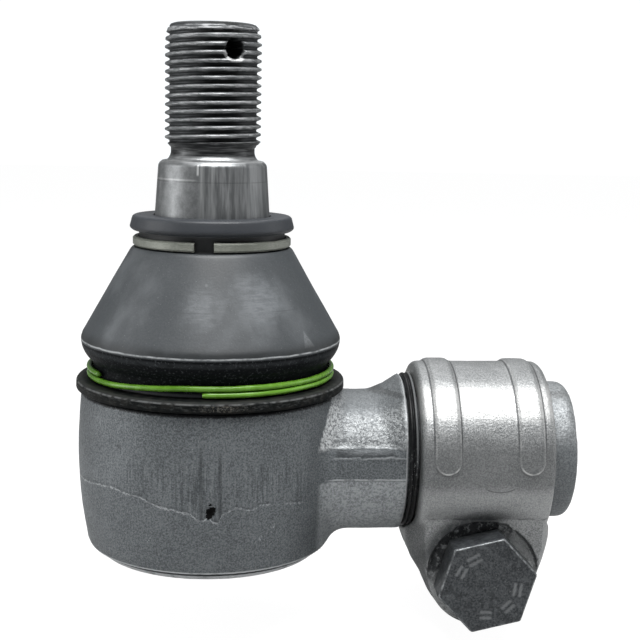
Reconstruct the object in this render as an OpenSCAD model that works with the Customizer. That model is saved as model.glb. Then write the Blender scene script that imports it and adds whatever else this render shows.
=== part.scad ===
// Angle ball joint with a clamped female shank, in millimetres.
// The origin is the centre of the ball. +Z runs up the stud and +X runs along the shank,
// out of its open end.

/* [Ball stud] */
// Diameter of the ball
ball_d = 40; // [37:0.5:41]
// Diameter of the neck between the ball and the boot seat
neck_d = 22; // [18:0.5:22.5]
// Height of the large end of the taper above the ball centre
taper_z = 60.8; // [59:0.2:66]
// Diameter of the taper at its large end
taper_d = 28.9; // [27:0.1:30]
// Length of the taper
taper_l = 13.6; // [10:0.2:18]
// Length of taper in which the diameter grows by one
taper_ratio = 8; // [6:1:12]
// Outer diameter of the stud thread
stud_thread_d = 24; // [22:0.5:25]
// Pitch of the stud thread
stud_thread_pitch = 2; // [1:0.25:3]
// Length of the stud thread with its end chamfer
stud_thread_l = 29.6; // [24:0.2:36]
// Length of the undercut between the taper and the thread
undercut_l = 3.9; // [3:0.1:6]
// Diameter of the split pin hole
pin_hole_d = 5; // [3:0.1:6]
// Distance of the split pin hole from the end of the stud
pin_hole_drop = 6.4; // [5:0.1:10]
// Turn of the split pin hole about the stud, from the front towards the shank
pin_hole_turn = 28; // [0:1:90]

/* [Housing] */
// Largest diameter of the pot, at the height of the ball centre
pot_d = 67.6; // [66:0.1:72]
// Diameter of the pot at its top shoulder
pot_top_d = 65.8; // [65:0.1:67]
// Diameter of the pot just above its bottom rounding
pot_low_d = 63.6; // [62:0.1:66]
// Height of the top shoulder above the ball centre
shoulder_z = 16.7; // [15:0.1:18]
// Depth of the bottom rim below the ball centre
pot_depth = 25.5; // [25:0.1:28]
// Diameter of the rolled rim at the bottom
rim_d = 56.8; // [56:0.1:58]
// Height of the collar that carries the boot, above the shoulder
collar_h = 8.4; // [8:0.1:10]
// Diameter of the collar in its boot groove
collar_groove_d = 53.2; // [52:0.1:54]
// Diameter of the collar's top flange, which keeps the boot on
collar_flange_d = 56; // [55:0.1:57]
// Largest swing of the stud from upright that the mouth leaves free, in degrees
swing = 25.5; // [15:0.5:25.5]
// Diameter of the forged neck between the pot and the shank
arm_d = 36.4; // [34:0.1:38]
// How far the axis of the forged neck lies below the axis of the shank
arm_drop = 2.65; // [0:0.05:3]
// Radius of the fillet between the neck and the pot
arm_fillet = 4.5; // [2:0.1:5]
// Width over the trimmed flats on both sides of the neck
flash_w = 37; // [36.6:0.1:38]
// Height of the trimmed flash band on the sides of the neck
flash_h = 6.7; // [4:0.1:9]

/* [Shank] */
// Outer diameter of the slotted tube
tube_d = 35.8; // [35:0.1:37]
// Distance from the ball centre to the open end of the tube
shank_l = 93; // [92:0.5:110]
// Distance from the ball centre to the face of the flange
flange_x = 49.4; // [48:0.1:52]
// Diameter of the flange
flange_d = 39.8; // [38:0.1:41]
// Outer diameter of the thread in the tube
rod_thread_d = 28; // [26:0.5:29]
// Pitch of the thread in the tube
rod_thread_pitch = 1.5; // [1:0.25:2]
// Depth of the threaded hole from the open end
rod_thread_l = 50; // [40:0.5:52]
// Width of the clamping slot along the underside of the tube
slot_w = 3; // [2:0.1:4]
// Length of the clamping slot
slot_l = 40; // [34:0.5:41]

/* [Boot] */
// Widest diameter of the boot
boot_d = 66; // [65:0.1:68]
// Height of the widest edge above the ball centre
boot_wide_z = 29; // [28:0.1:31]
// Diameter of the top of the cone
cone_top_d = 41; // [40:0.1:43]
// Height of the top of the cone above the ball centre
cone_top_z = 52.1; // [51:0.1:52.6]
// Diameter of the top collar at its lower edge
boot_collar_d = 41.6; // [41:0.1:44]
// Height of the top collar
boot_collar_h = 3.9; // [3:0.1:4.5]
// Diameter of the lower lip
lip_d = 68.5; // [68:0.1:70]
// Thickness of the lower lip
lip_t = 2.8; // [2:0.1:3]
// Wall of the cone
boot_wall = 2.4; // [2:0.1:3]

/* [Rings] */
// Outer diameter of the flat top ring
top_ring_d = 39.9; // [39.5:0.1:41]
// Height of the flat top ring
top_ring_h = 2.3; // [1.5:0.1:2.5]
// Thickness of the flat top ring
top_ring_t = 1.25; // [1:0.05:1.4]
// Opening of the gap in the top ring, in degrees
top_ring_gap = 14; // [6:1:30]
// Diameter of the wire of the bottom ring
wire_d = 1.4; // [1:0.1:1.5]
// Turns of the bottom ring
wire_turns = 1.84; // [1.2:0.02:2.2]
// Rise of the wire over one turn
wire_rise = 1.5; // [1.45:0.05:1.7]
// Width of the rubber ring on the shank
shank_ring_w = 2.3; // [2:0.1:2.5]

/* [Clamp] */
// Length of the clamp along the shank
clamp_l = 33.8; // [30:0.1:35]
// Outer diameter of the clamp
clamp_d = 46.4; // [45:0.1:48]
// Width of each rib
rib_w = 6.6; // [5:0.1:8]
// Height of each rib
rib_h = 0.75; // [0.4:0.05:1.2]
// Distance between the middles of the two ribs
rib_spacing = 21; // [18:0.1:23]
// Gap between the two ears
ear_gap = 3; // [2:0.1:5]
// Width over the two ears
ears_w = 38; // [37:0.1:41]
// Radius of each ear's rounded end at the gap
ear_r = 15.8; // [15:0.1:17]
// How much each ear's rounded end loses in radius at its outer face
ear_draft = 2.2; // [1:0.1:3]
// How much each ear's root loses on each side at its outer face
ear_root_draft = 4.2; // [1:0.1:5]

/* [Clamp bolt] */
// Diameter of the bolt
bolt_d = 14; // [12:0.5:14]
// Distance of the bolt below the axis of the shank
bolt_drop = 28.3; // [27:0.1:30]
// Width across the flats of the bolt head and of the nut
hex_w = 22; // [19:0.5:22]
// Height of the bolt head
head_h = 8.8; // [7:0.1:10]
// Height of the nut
nut_h = 11; // [9:0.1:13]
// Width over the two spot faces that the head and the nut seat on
seats_w = 34.4; // [33:0.1:35]
// Diameter of the spot faces
seat_d = 28.5; // [28:0.1:30]
// Turn of the bolt head's corners about the bolt, in degrees
head_turn = 47; // [0:1:59]

/* [Hidden] */
$fn = 96;

// Clearances: running fit of the ball, assembled fits, and soft rubber
running = 0.06;
fit = 0.1;
soft = 0.3;
eps = 0.01;
over = 1;
edge = 0.5;

// Ball and stud
ball_r = ball_d / 2;
neck_r = neck_d / 2;
taper_r = taper_d / 2;
taper_top_z = taper_z + taper_l;
taper_top_r = taper_r - taper_l / taper_ratio / 2;
stud_thread_r = stud_thread_d / 2;
thread_depth_share = 0.6134;
stud_core_r = stud_thread_r - thread_depth_share * stud_thread_pitch;
undercut_top_z = taper_top_z + undercut_l;
stud_top_z = undercut_top_z + stud_thread_l;
taper_edge = 0.9;
undercut_round = 1.6;
undercut_depth = 0.3;
undercut_end_z = undercut_top_z - 0.8;
thread_low_z = undercut_top_z + 0.5;
stud_end_chamfer = 1.4;
stud_end_point_h = 0.7;
boot_seat_l = 15;
neck_flare_l = 12;
neck_flare_step = 1 / 6;
ball_flat_depth = 1.5;
pin_hole_z = stud_top_z - pin_hole_drop;
pin_hole_chamfer = 0.5;
crest_share = 1 / 8;
root_share = 1 / 4;

// Inside of the pot
shell_t = 5.2;
pot_bore_r = ball_r + shell_t;
mouth_play = 1;
mouth_slope = tan(swing);
function mouth_r(z) = neck_r / cos(swing) + z * mouth_slope + mouth_play;
upper_shell_low_z = 0.4;
upper_shell_high_z = 9.7;
upper_shell_shoulder_z = 5.6;
mouth_low_z = upper_shell_high_z + 0.9;
lower_shell_low_z = -(ball_r - 0.5);
lower_shell_hole_r = 10.5;
cover_t = 2.2;
rim_wrap_t = 1.1;
rim_wrap_w = 2.4;
rim_h = 1.3;
cover_low_z = -(pot_depth - rim_wrap_t);
cover_high_z = cover_low_z + cover_t;
cover_r = pot_bore_r - fit;
seal_d = 1.6;
spring_t = 1;
spring_cone_h = 0.5;
spring_in_r = 13;
spring_out_r = 22.5;

// Outside of the pot
pot_r = pot_d / 2;
pot_low_z = -(pot_depth - 4.6);
pot_bottom_round = 3.4;
soft_corner = 80;
collar_top_z = shoulder_z + collar_h;
collar_groove_h = 6;
rim_r = rim_d / 2;

// Shank
arm_r = arm_d / 2;
tube_r = tube_d / 2;
flange_r = flange_d / 2;
flange_t = 0.4;
flare_l = 10.4;
flare_power = 1.8;
flare_low_r = arm_r - arm_drop - 0.1;
arm_start_x = 25.6;
fillet_sink = 0.15;
fillet_root = 2.5;
fillet_steps = 5;
fillet_sections = 60;
fillet_room_up = shoulder_z - 0.3 + arm_drop;
fillet_room_down = pot_depth - 1.7 - arm_drop;
flash_top_z = flash_h / 2 + 0.15;
rod_core_r = rod_thread_d / 2 - thread_depth_share * rod_thread_pitch;
rod_hole_point = 59;
tube_end_round = 2.2;
tube_end_chamfer = 1;
slot_end_x = shank_l - slot_l;

// Boot
boot_low_z = shoulder_z + soft;
lip_r = lip_d / 2;
boot_r = boot_d / 2;
bead_in_r = collar_groove_d / 2 + soft;
bead_over_r = collar_flange_d / 2 + soft;
wire_r = wire_d / 2;
wire_groove_r = 29.9;
wire_path_r = wire_groove_r + soft + wire_r;
wire_low_z = boot_low_z + lip_t + wire_r + 0.25;
wire_top_z = wire_low_z + wire_turns * wire_rise;
wire_start = -93;
wire_sides = 8;
wire_steps = 56;
groove_end_z = wire_top_z + wire_r + soft;
bulge_r = 6.8;
cone_top_r = cone_top_d / 2;
cone_slope = (boot_r - 1 - cone_top_r) / (cone_top_z - boot_wide_z - 2.9);
ring_groove_r = top_ring_d / 2 - top_ring_t - soft;
ring_low_z = cone_top_z + 1;
ring_top_z = ring_low_z + top_ring_h;
groove_top_z = ring_top_z + 1.4;
boot_collar_r = boot_collar_d / 2;
boot_top_z = groove_top_z + boot_collar_h;
boot_bore_r = taper_r + soft;
ring_gap_middle = -95;

// Rubber ring on the shank
shank_ring_x = flange_x + 0.2;
shank_ring_r = flange_r + 0.1;

// Clamp
clamp_x = shank_ring_x + shank_ring_w + 0.3;
clamp_mid_x = clamp_x + clamp_l / 2;
clamp_r = clamp_d / 2;
clamp_bore_r = tube_r + fit;
clamp_left_round = 1.6;
clamp_right_round = 2;
rib_r = clamp_r + rib_h;
rib_end_z = 2.6;
rib_edge = 0.5;
rib_crown = 0.15;
ear_top_z = -14;
ear_root_half = clamp_l / 2 + 2.2;
ear_bend_y = 10;
ear_root_z = -21;
ear_skin = 0.2;
end_room_l = 5;
bolt_r = bolt_d / 2;
bolt_hole_r = bolt_r + 0.25;
hex_corner_r = hex_w / 2 / cos(30);
hex_chamfer_r = hex_w / 2 * 0.95;
washer_face_r = hex_w / 2 * 0.93;
washer_face_t = 0.5;
bolt_end_over = 3.5;
bolt_end_y = seats_w / 2 + nut_h + bolt_end_over;
bolt_end_chamfer = 1.2;

// Turns a shape that was drawn about Z so that its axis runs along +X
module along_x() {
    rotate([0, 90, 0]) children();
}

// Turns a shape that was drawn about Z so that its axis runs along +Y, with its X kept
module along_y() {
    rotate([-90, 0, 0]) children();
}

// Points of an arc with a given centre, from one angle to another
function arc(cx, cy, r, from, to, steps = 8) =
    [for (i = [0 : steps])
        let (a = from + (to - from) * i / steps)
        [cx + r * cos(a), cy + r * sin(a)]];

// Barrel of the pot: its radius at height z, from the three measured diameters
function pot_radius(z) =
    z > 0
        ? pot_r - (pot_r - pot_top_d / 2) * pow(z / shoulder_z, 2)
        : pot_r - (pot_r - pot_low_d / 2) * pow(z / pot_low_z, 2);

// Forged pot with its boot collar and the rolled rim at the bottom, as a turned outline
module pot_body() {
    low_r = pot_low_d / 2;
    steps = 10;
    side = [for (i = [1 : steps])
        let (z = pot_low_z + (shoulder_z - pot_low_z) * i / steps)
        [pot_radius(z), z]];
    rotate_extrude()
        polygon(concat(
            [[0, -pot_depth], [rim_r - edge, -pot_depth]],
            [[rim_r, -pot_depth + edge], [rim_r, -pot_depth + rim_h]],
            arc(low_r - pot_bottom_round, pot_low_z, pot_bottom_round, -soft_corner, 0, 6),
            side,
            [
                [collar_groove_d / 2, shoulder_z],
                [collar_groove_d / 2, shoulder_z + collar_groove_h],
                [collar_flange_d / 2, shoulder_z + collar_groove_h + edge],
                [collar_flange_d / 2, collar_top_z - edge],
                [collar_flange_d / 2 - edge, collar_top_z],
                [0, collar_top_z]
            ]
        ));
}

// Hollow of the pot: the bore for the shells, their seat, the mouth, and the recess of the cover
module pot_hollow() {
    rim_in_r = cover_r - rim_wrap_w;
    rotate_extrude()
        polygon([
            [0, -pot_depth - over],
            [rim_in_r + over, -pot_depth - over],
            [rim_in_r, cover_low_z - fit],
            [pot_bore_r, cover_low_z - fit],
            [pot_bore_r, upper_shell_shoulder_z + fit],
            [mouth_r(mouth_low_z), mouth_low_z],
            [mouth_r(collar_top_z), collar_top_z],
            [mouth_r(collar_top_z + over), collar_top_z + over],
            [0, collar_top_z + over]
        ]);
}

// Outside of the pot at height z, with the rounding of its bottom edge
function pot_face(z) =
    z < pot_low_z
        ? pot_low_d / 2 - pot_bottom_round
            + sqrt(max(0, pow(pot_bottom_round, 2) - pow(z - pot_low_z, 2)))
        : pot_radius(z);

// Point at a distance r from the axis of the neck, at angle a from its top
function neck_point(x, r, a) = [x, r * sin(a), r * cos(a) - arm_drop];

// Where the pot's face is met at such a distance and angle
function pot_x(r, a) = sqrt(pow(pot_face(r * cos(a) - arm_drop), 2) - pow(r * sin(a), 2));

// Radius of the fillet at angle a, smaller where the shoulder or the bottom is near
function fillet_r(a) =
    min(arm_fillet, (cos(a) > 0 ? fillet_room_up : fillet_room_down) / max(eps, abs(cos(a))) - arm_r);

// Section of the fillet: a curve from the neck to the pot, and one point deep in the corner
function fillet_section(a) =
    let (
        r = fillet_r(a),
        x = pot_x(arm_r, a),
        on_neck = neck_point(x + r, arm_r - fillet_sink, a),
        corner = neck_point(x, arm_r, a),
        on_pot = neck_point(pot_x(arm_r + r, a) - fillet_sink, arm_r + r, a)
    )
    concat(
        [for (i = [0 : fillet_steps])
            let (t = i / fillet_steps)
            on_neck * pow(1 - t, 2) + corner * 2 * t * (1 - t) + on_pot * pow(t, 2)],
        [neck_point(x - fillet_root, arm_r - fillet_root, a)]
    );

// Fillet all round the place where the neck leaves the pot
module arm_root() {
    count = fillet_steps + 2;
    points = [for (s = [0 : fillet_sections - 1]) each fillet_section(360 * s / fillet_sections)];
    faces = [for (s = [0 : fillet_sections - 1], k = [0 : count - 1])
        let (
            a = s * count + k,
            b = s * count + (k + 1) % count,
            c = (s + 1) % fillet_sections * count + k,
            d = (s + 1) % fillet_sections * count + (k + 1) % count
        )
        each [[a, b, c], [b, d, c]]];
    polyhedron(points = points, faces = faces, convexity = 4);
}

// Forged neck: a low round arm, the flare up to the flange, and the trimmed flash band
module arm() {
    flare_x = flange_x - flange_t - flare_l;
    flare_steps = 8;
    flare_lead = 6;
    intersection() {
        union() {
            translate([0, 0, -arm_drop])
                along_x()
                    cylinder(r = arm_r, h = flange_x - flange_t);
            along_x()
                rotate_extrude()
                    polygon(concat(
                        [[0, flare_x - flare_lead], [flare_low_r - edge, flare_x - flare_lead]],
                        [for (i = [0 : flare_steps])
                            let (t = i / flare_steps)
                            [flare_low_r + (flange_r - flare_low_r) * pow(t, flare_power),
                             flare_x + flare_l * t]],
                        [[flange_r, flange_x - edge / 2], [flange_r - edge / 2, flange_x], [0, flange_x]]
                    ));
            translate([0, -flash_w / 2, flash_top_z - flash_h])
                cube([flange_x - flange_t, flash_w, flash_h]);
        }
        translate([arm_start_x, -flash_w / 2, -pot_depth])
            cube([flange_x, flash_w, pot_depth + shoulder_z + collar_h]);
    }
}

module housing() {
    color([0.44, 0.47, 0.49])
    difference() {
        union() {
            pot_body();
            arm();
            arm_root();
            along_x()
                rotate_extrude()
                    polygon(concat(
                        [[0, flange_x - over], [tube_r, flange_x - over]],
                        arc(tube_r - tube_end_round, shank_l - tube_end_round, tube_end_round, 0, 90, 6),
                        [[0, shank_l]]
                    ));
        }
        pot_hollow();
        translate([shank_l, 0, 0])
            rotate([0, -90, 0])
                rotate_extrude()
                    polygon([
                        [0, -over],
                        [rod_core_r + tube_end_chamfer + over, -over],
                        [rod_core_r, tube_end_chamfer],
                        [rod_core_r, rod_thread_l],
                        [0, rod_thread_l + rod_core_r / tan(rod_hole_point)]
                    ]);
        translate([slot_end_x, -slot_w / 2, -tube_r - over])
            cube([slot_l + over, slot_w, tube_r + over]);
        translate([slot_end_x, 0, -tube_r - over])
            cylinder(d = slot_w, h = tube_r + over);
    }
}

// Outline of the stud thread as rings at its pitch, from one crest to the next
function thread_outline(low_z, high_z) =
    let (
        crest = crest_share * stud_thread_pitch,
        root = root_share * stud_thread_pitch,
        flank = (stud_thread_pitch - crest - root) / 2,
        rings = floor((high_z - low_z - crest) / stud_thread_pitch)
    )
    concat(
        [for (i = [0 : rings - 1])
            let (z = low_z + i * stud_thread_pitch + crest)
            each [
                [stud_thread_r, z - crest],
                [stud_thread_r, z],
                [stud_core_r, z + flank],
                [stud_core_r, z + flank + root]
            ]],
        [[stud_thread_r, low_z + rings * stud_thread_pitch]]
    );

module ball_stud() {
    flat_z = -(ball_r - ball_flat_depth);
    flat_r = sqrt(ball_r * ball_r - flat_z * flat_z);
    joint_z = sqrt(ball_r * ball_r - neck_r * neck_r);
    seat_low_z = taper_z - boot_seat_l;
    flat_angle = -atan2(-flat_z, flat_r);
    neck_angle = atan2(joint_z, neck_r);
    undercut_r = stud_core_r - undercut_depth;
    thread_top_z = stud_top_z - stud_end_chamfer - stud_end_point_h;
    pin_edge = pin_hole_chamfer * 1.6;
    color([0.62, 0.63, 0.65])
    difference() {
        rotate_extrude()
            polygon(concat(
                [[0, flat_z]],
                arc(0, 0, ball_r, flat_angle, neck_angle, 48),
                [for (t = [0 : neck_flare_step : 1])
                    [neck_r + (taper_r - neck_r) * (1 - cos(t * 180)) / 2,
                     seat_low_z - neck_flare_l * (1 - t)]],
                [[taper_r, taper_z], [taper_top_r, taper_top_z - taper_edge]],
                [[taper_top_r - taper_edge, taper_top_z]],
                arc(undercut_r + undercut_round, taper_top_z + undercut_round, undercut_round, 270, 180, 5),
                [[undercut_r, undercut_end_z]],
                thread_outline(thread_low_z, thread_top_z),
                [
                    [stud_thread_r, thread_top_z],
                    [stud_thread_r - stud_end_chamfer * 0.6, stud_top_z - stud_end_point_h],
                    [stud_thread_r - stud_end_chamfer * 1.6, stud_top_z],
                    [0, stud_top_z]
                ]
            ));
        translate([0, 0, pin_hole_z])
            rotate([0, 0, pin_hole_turn])
                along_y() {
                    cylinder(d = pin_hole_d, h = stud_thread_d + over * 2, center = true);
                    for (side = [-1, 1])
                        translate([0, 0, side * stud_thread_r])
                            cylinder(
                                r1 = pin_hole_d / 2 + (side < 0 ? pin_edge : 0),
                                r2 = pin_hole_d / 2 + (side > 0 ? pin_edge : 0),
                                h = pin_edge * 2,
                                center = true
                            );
                }
    }
}

// Seat ring round the upper half of the ball
module upper_bearing_shell() {
    seat_r = ball_r + running;
    low_angle = asin(upper_shell_low_z / seat_r);
    high_angle = asin(upper_shell_high_z / seat_r);
    shoulder_r = mouth_r(mouth_low_z);
    color([0.85, 0.84, 0.78])
    rotate_extrude()
        polygon(concat(
            [
                [pot_bore_r - fit, upper_shell_low_z],
                [pot_bore_r - fit, upper_shell_shoulder_z - fit],
                [shoulder_r, upper_shell_high_z]
            ],
            arc(0, 0, seat_r, high_angle, low_angle, 12)
        ));
}

// Cup under the ball, with a grease hole in its middle
module lower_bearing_shell() {
    seat_r = ball_r + running;
    hole_z = -sqrt(seat_r * seat_r - lower_shell_hole_r * lower_shell_hole_r);
    top_angle = -2;
    bevel = 1.5;
    color([0.85, 0.84, 0.78])
    rotate_extrude()
        polygon(concat(
            arc(0, 0, seat_r, top_angle, atan2(hole_z, lower_shell_hole_r), 14),
            [
                [lower_shell_hole_r, lower_shell_low_z],
                [pot_bore_r - fit - bevel, lower_shell_low_z],
                [pot_bore_r - fit, lower_shell_low_z + bevel],
                [pot_bore_r - fit, seat_r * sin(top_angle)]
            ]
        ));
}

// Conical disc spring between the lower shell and the cover
module preload_spring() {
    out_z = cover_high_z + fit;
    in_z = out_z + spring_cone_h;
    color([0.35, 0.36, 0.4])
    rotate_extrude()
        polygon([
            [spring_in_r, in_z],
            [spring_out_r, out_z],
            [spring_out_r, out_z + spring_t],
            [spring_in_r, in_z + spring_t]
        ]);
}

// Pressed cover with a shallow dish and a stepped edge that the rim is rolled over
module cover_plate() {
    dish_r = 15;
    dish_h = 0.7;
    seal_step = seal_d + fit * 2;
    color([0.5, 0.51, 0.52])
    rotate_extrude()
        polygon([
            [0, cover_low_z + dish_h],
            [dish_r, cover_low_z + dish_h],
            [dish_r + dish_h * 2, cover_low_z],
            [cover_r, cover_low_z],
            [cover_r, cover_high_z - seal_step],
            [cover_r - seal_step, cover_high_z - seal_step],
            [cover_r - seal_step, cover_high_z],
            [0, cover_high_z]
        ]);
}

// O-ring in the step at the cover's edge
module cover_seal() {
    color([0.12, 0.12, 0.13])
    translate([0, 0, cover_high_z - seal_d / 2 - fit / 2])
        rotate_extrude()
            translate([cover_r - seal_d / 2 - fit / 2, 0])
                circle(d = seal_d);
}

// Rubber boot, turned as one closed wall from its lower lip to its top collar
module boot() {
    cone_in_shift = boot_wall * sqrt(1 + cone_slope * cone_slope);
    cone_low_z = boot_wide_z + 2.9;
    cone_low_r = boot_r - 1;
    in_low_z = boot_wide_z - 0.6;
    in_high_z = cone_top_z - 2;
    color([0.25, 0.27, 0.29])
    rotate_extrude()
        polygon(concat(
            [[bead_in_r, boot_low_z], [lip_r - 0.3, boot_low_z], [lip_r, boot_low_z + 0.4]],
            [[lip_r, boot_low_z + lip_t - 0.9], [lip_r - 0.7, boot_low_z + lip_t]],
            [[wire_groove_r, boot_low_z + lip_t], [wire_groove_r, groove_end_z]],
            arc(boot_r - bulge_r, boot_wide_z, bulge_r, -asin((boot_wide_z - groove_end_z) / bulge_r), 0, 6),
            [[boot_r - 0.05, boot_wide_z + 0.7]],
            [[boot_r - 0.35, boot_wide_z + 1.8], [cone_low_r, cone_low_z]],
            [[cone_top_r, cone_top_z], [cone_top_r - 0.6, cone_top_z + 0.6]],
            [[ring_groove_r, cone_top_z + 0.7], [ring_groove_r, groove_top_z]],
            [[boot_collar_r - 0.9, groove_top_z], [boot_collar_r, groove_top_z + 0.8]],
            [[boot_collar_r - 0.7, boot_top_z - 0.4], [boot_collar_r - 1.1, boot_top_z]],
            [[boot_bore_r, boot_top_z], [boot_bore_r, cone_top_z - 0.4]],
            [[cone_low_r - cone_in_shift - (in_high_z - cone_low_z) * cone_slope, in_high_z]],
            [[cone_low_r - cone_in_shift, cone_low_z], [boot_r - 3, in_low_z]],
            [[bead_over_r, collar_top_z + 0.3], [bead_over_r, shoulder_z + collar_groove_h - 0.2]],
            [[bead_in_r, shoulder_z + collar_groove_h - soft]]
        ));
}

// Flat snap ring with one gap, in the groove under the top collar
module boot_top_ring() {
    out_r = top_ring_d / 2;
    bevel = 0.4;
    color([0.62, 0.61, 0.53])
    rotate([0, 0, ring_gap_middle + top_ring_gap / 2])
        rotate_extrude(angle = 360 - top_ring_gap)
            polygon([
                [out_r - top_ring_t, ring_low_z],
                [out_r - bevel, ring_low_z],
                [out_r, ring_low_z + bevel],
                [out_r, ring_top_z - bevel],
                [out_r - bevel, ring_top_z],
                [out_r - top_ring_t, ring_top_z]
            ]);
}

// Wound wire ring: one tube swept along a flat helix
module boot_bottom_ring() {
    rings = ceil(wire_steps * wire_turns);
    points = [for (i = [0 : rings], k = [0 : wire_sides - 1])
        let (
            turn = i / rings * wire_turns,
            a = wire_start + 360 * turn,
            s = 360 * (k + 0.5) / wire_sides,
            r = wire_path_r + wire_r * cos(s)
        )
        [r * cos(a), r * sin(a), wire_low_z + turn * wire_rise + wire_r * sin(s)]];
    sides = [for (i = [0 : rings - 1], k = [0 : wire_sides - 1])
        let (a = i * wire_sides, b = a + wire_sides, n = (k + 1) % wire_sides)
        [a + k, a + n, b + n, b + k]];
    first = [for (k = [wire_sides - 1 : -1 : 0]) k];
    last = [for (k = [0 : wire_sides - 1]) rings * wire_sides + k];
    color([0.36, 0.75, 0.16])
    polyhedron(points = points, faces = concat(sides, [first], [last]), convexity = 4);
}

// Rubber ring on the tube, with a groove round its outer face
module shank_seal_ring() {
    in_r = tube_r + fit;
    groove = 0.5;
    bevel = 0.3;
    color([0.06, 0.06, 0.07])
    translate([shank_ring_x, 0, 0])
        along_x()
            rotate_extrude()
                polygon([
                    [in_r, 0],
                    [shank_ring_r - bevel, 0],
                    [shank_ring_r, bevel],
                    [shank_ring_r, shank_ring_w / 2 - groove],
                    [shank_ring_r - groove, shank_ring_w / 2],
                    [shank_ring_r, shank_ring_w / 2 + groove],
                    [shank_ring_r, shank_ring_w - bevel],
                    [shank_ring_r - bevel, shank_ring_w],
                    [in_r, shank_ring_w]
                ]);
}

// One rib round the top of the clamp, with a rounded end on each side
module clamp_rib(x) {
    intersection() {
        translate([x - rib_w / 2, 0, 0])
            along_x()
                rotate_extrude()
                    polygon([
                        [clamp_r - over, 0],
                        [clamp_r, 0],
                        [rib_r - rib_crown, rib_edge],
                        [rib_r, rib_edge * 2],
                        [rib_r, rib_w - rib_edge * 2],
                        [rib_r - rib_crown, rib_w - rib_edge],
                        [clamp_r, rib_w],
                        [clamp_r - over, rib_w]
                    ]);
        union() {
            translate([x - rib_w / 2, -clamp_d, rib_end_z])
                cube([rib_w, clamp_d * 2, clamp_d]);
            translate([x, 0, rib_end_z])
                along_y()
                    cylinder(d = rib_w, h = clamp_d * 2, center = true);
        }
    }
}

// Section of an ear, seen along the bolt, with a share of the full draft
module ear_section(share) {
    half = ear_root_half - ear_root_draft * share;
    translate([clamp_mid_x, -bolt_drop])
        circle(r = ear_r - ear_draft * share, $fn = 40);
    translate([clamp_mid_x - half, ear_root_z])
        square([half * 2, ear_top_z - ear_root_z]);
}

// Ear on one side of the gap: nearly straight at the gap, then drafted to its outer face
module clamp_ear(side) {
    hull()
        for (at = [[ear_gap / 2, 0], [ear_bend_y, 0.05], [ears_w / 2 - ear_skin, 1]])
            translate([0, side * (at[0] + ear_skin / 2), 0])
                rotate([90, 0, 0])
                    linear_extrude(ear_skin, center = true)
                        ear_section(at[1]);
}

// Room round the tube beyond both ends of the clamp, so that the ears' roots clear the ring
module clamp_end_room() {
    for (x = [clamp_x - end_room_l, clamp_x + clamp_l])
        translate([x, 0, 0])
            along_x()
                cylinder(r = shank_ring_r + soft, h = end_room_l);
}

module clamp() {
    left = clamp_left_round;
    right = clamp_right_round;
    color([0.66, 0.66, 0.65])
    difference() {
        union() {
            translate([clamp_x, 0, 0])
                along_x()
                    rotate_extrude()
                        polygon(concat(
                            [[0, 0]],
                            arc(clamp_r - left, left, left, -90, 0, 5),
                            arc(clamp_r - right, clamp_l - right, right, 0, soft_corner, 5),
                            [[0, clamp_l]]
                        ));
            clamp_rib(clamp_mid_x - rib_spacing / 2);
            clamp_rib(clamp_mid_x + rib_spacing / 2);
            clamp_ear(-1);
            clamp_ear(1);
        }
        clamp_end_room();
        translate([clamp_x - end_room_l, 0, 0])
            along_x()
                cylinder(r = clamp_bore_r, h = clamp_l + end_room_l * 2);
        translate([clamp_x - end_room_l, -ear_gap / 2, -clamp_d * 1.5])
            cube([clamp_l + end_room_l * 2, ear_gap, clamp_d * 1.5]);
        translate([clamp_mid_x, 0, -bolt_drop])
            along_y() {
                cylinder(r = bolt_hole_r, h = ears_w + over * 2, center = true);
                for (side = [-1, 1])
                    translate([0, 0, side * seats_w])
                        cylinder(d = seat_d, h = seats_w, center = true);
            }
    }
}

// Hexagon prism about Z with its corners turned down to a cone at both or one end
module hex_block(height, chamfer_low, turn) {
    rise = (hex_corner_r - hex_chamfer_r) * tan(30);
    side_r = hex_corner_r + eps;
    low_end = chamfer_low ? [[hex_chamfer_r, 0], [side_r, rise]] : [[side_r, 0]];
    intersection() {
        rotate([0, 0, turn])
            cylinder(r = hex_corner_r, h = height, $fn = 6);
        rotate_extrude()
            polygon(concat(
                [[0, 0]],
                low_end,
                [[side_r, height - rise], [hex_chamfer_r, height], [0, height]]
            ));
    }
}

module clamp_bolt() {
    color([0.17, 0.18, 0.2])
    translate([clamp_mid_x, -seats_w / 2, -bolt_drop])
        along_y() {
            translate([0, 0, -washer_face_t - eps])
                cylinder(r = washer_face_r, h = washer_face_t);
            mirror([0, 0, 1])
                translate([0, 0, washer_face_t])
                    hex_block(head_h - washer_face_t, false, head_turn);
            translate([0, 0, -washer_face_t])
                rotate_extrude()
                    polygon([
                        [0, 0],
                        [bolt_r, 0],
                        [bolt_r, washer_face_t + seats_w / 2 + bolt_end_y - bolt_end_chamfer],
                        [bolt_r - bolt_end_chamfer, washer_face_t + seats_w / 2 + bolt_end_y],
                        [0, washer_face_t + seats_w / 2 + bolt_end_y]
                    ]);
        }
}

module clamp_nut() {
    color([0.2, 0.21, 0.23])
    translate([clamp_mid_x, seats_w / 2 + eps, -bolt_drop])
        along_y()
            difference() {
                hex_block(nut_h, true, head_turn);
                translate([0, 0, -over])
                    cylinder(r = bolt_r + fit / 2, h = nut_h + over * 2);
            }
}

housing();
ball_stud();
upper_bearing_shell();
lower_bearing_shell();
preload_spring();
cover_plate();
cover_seal();
boot();
boot_top_ring();
boot_bottom_ring();
shank_seal_ring();
clamp();
clamp_bolt();
clamp_nut();
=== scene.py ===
"""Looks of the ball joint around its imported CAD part.

Lengths are in millimetres where they don't say metres. x runs along the shank and z up the stud, from
the centre of the ball.
"""
import math

import bpy
import numpy as np
from mathutils import Matrix, Vector, noise


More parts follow.
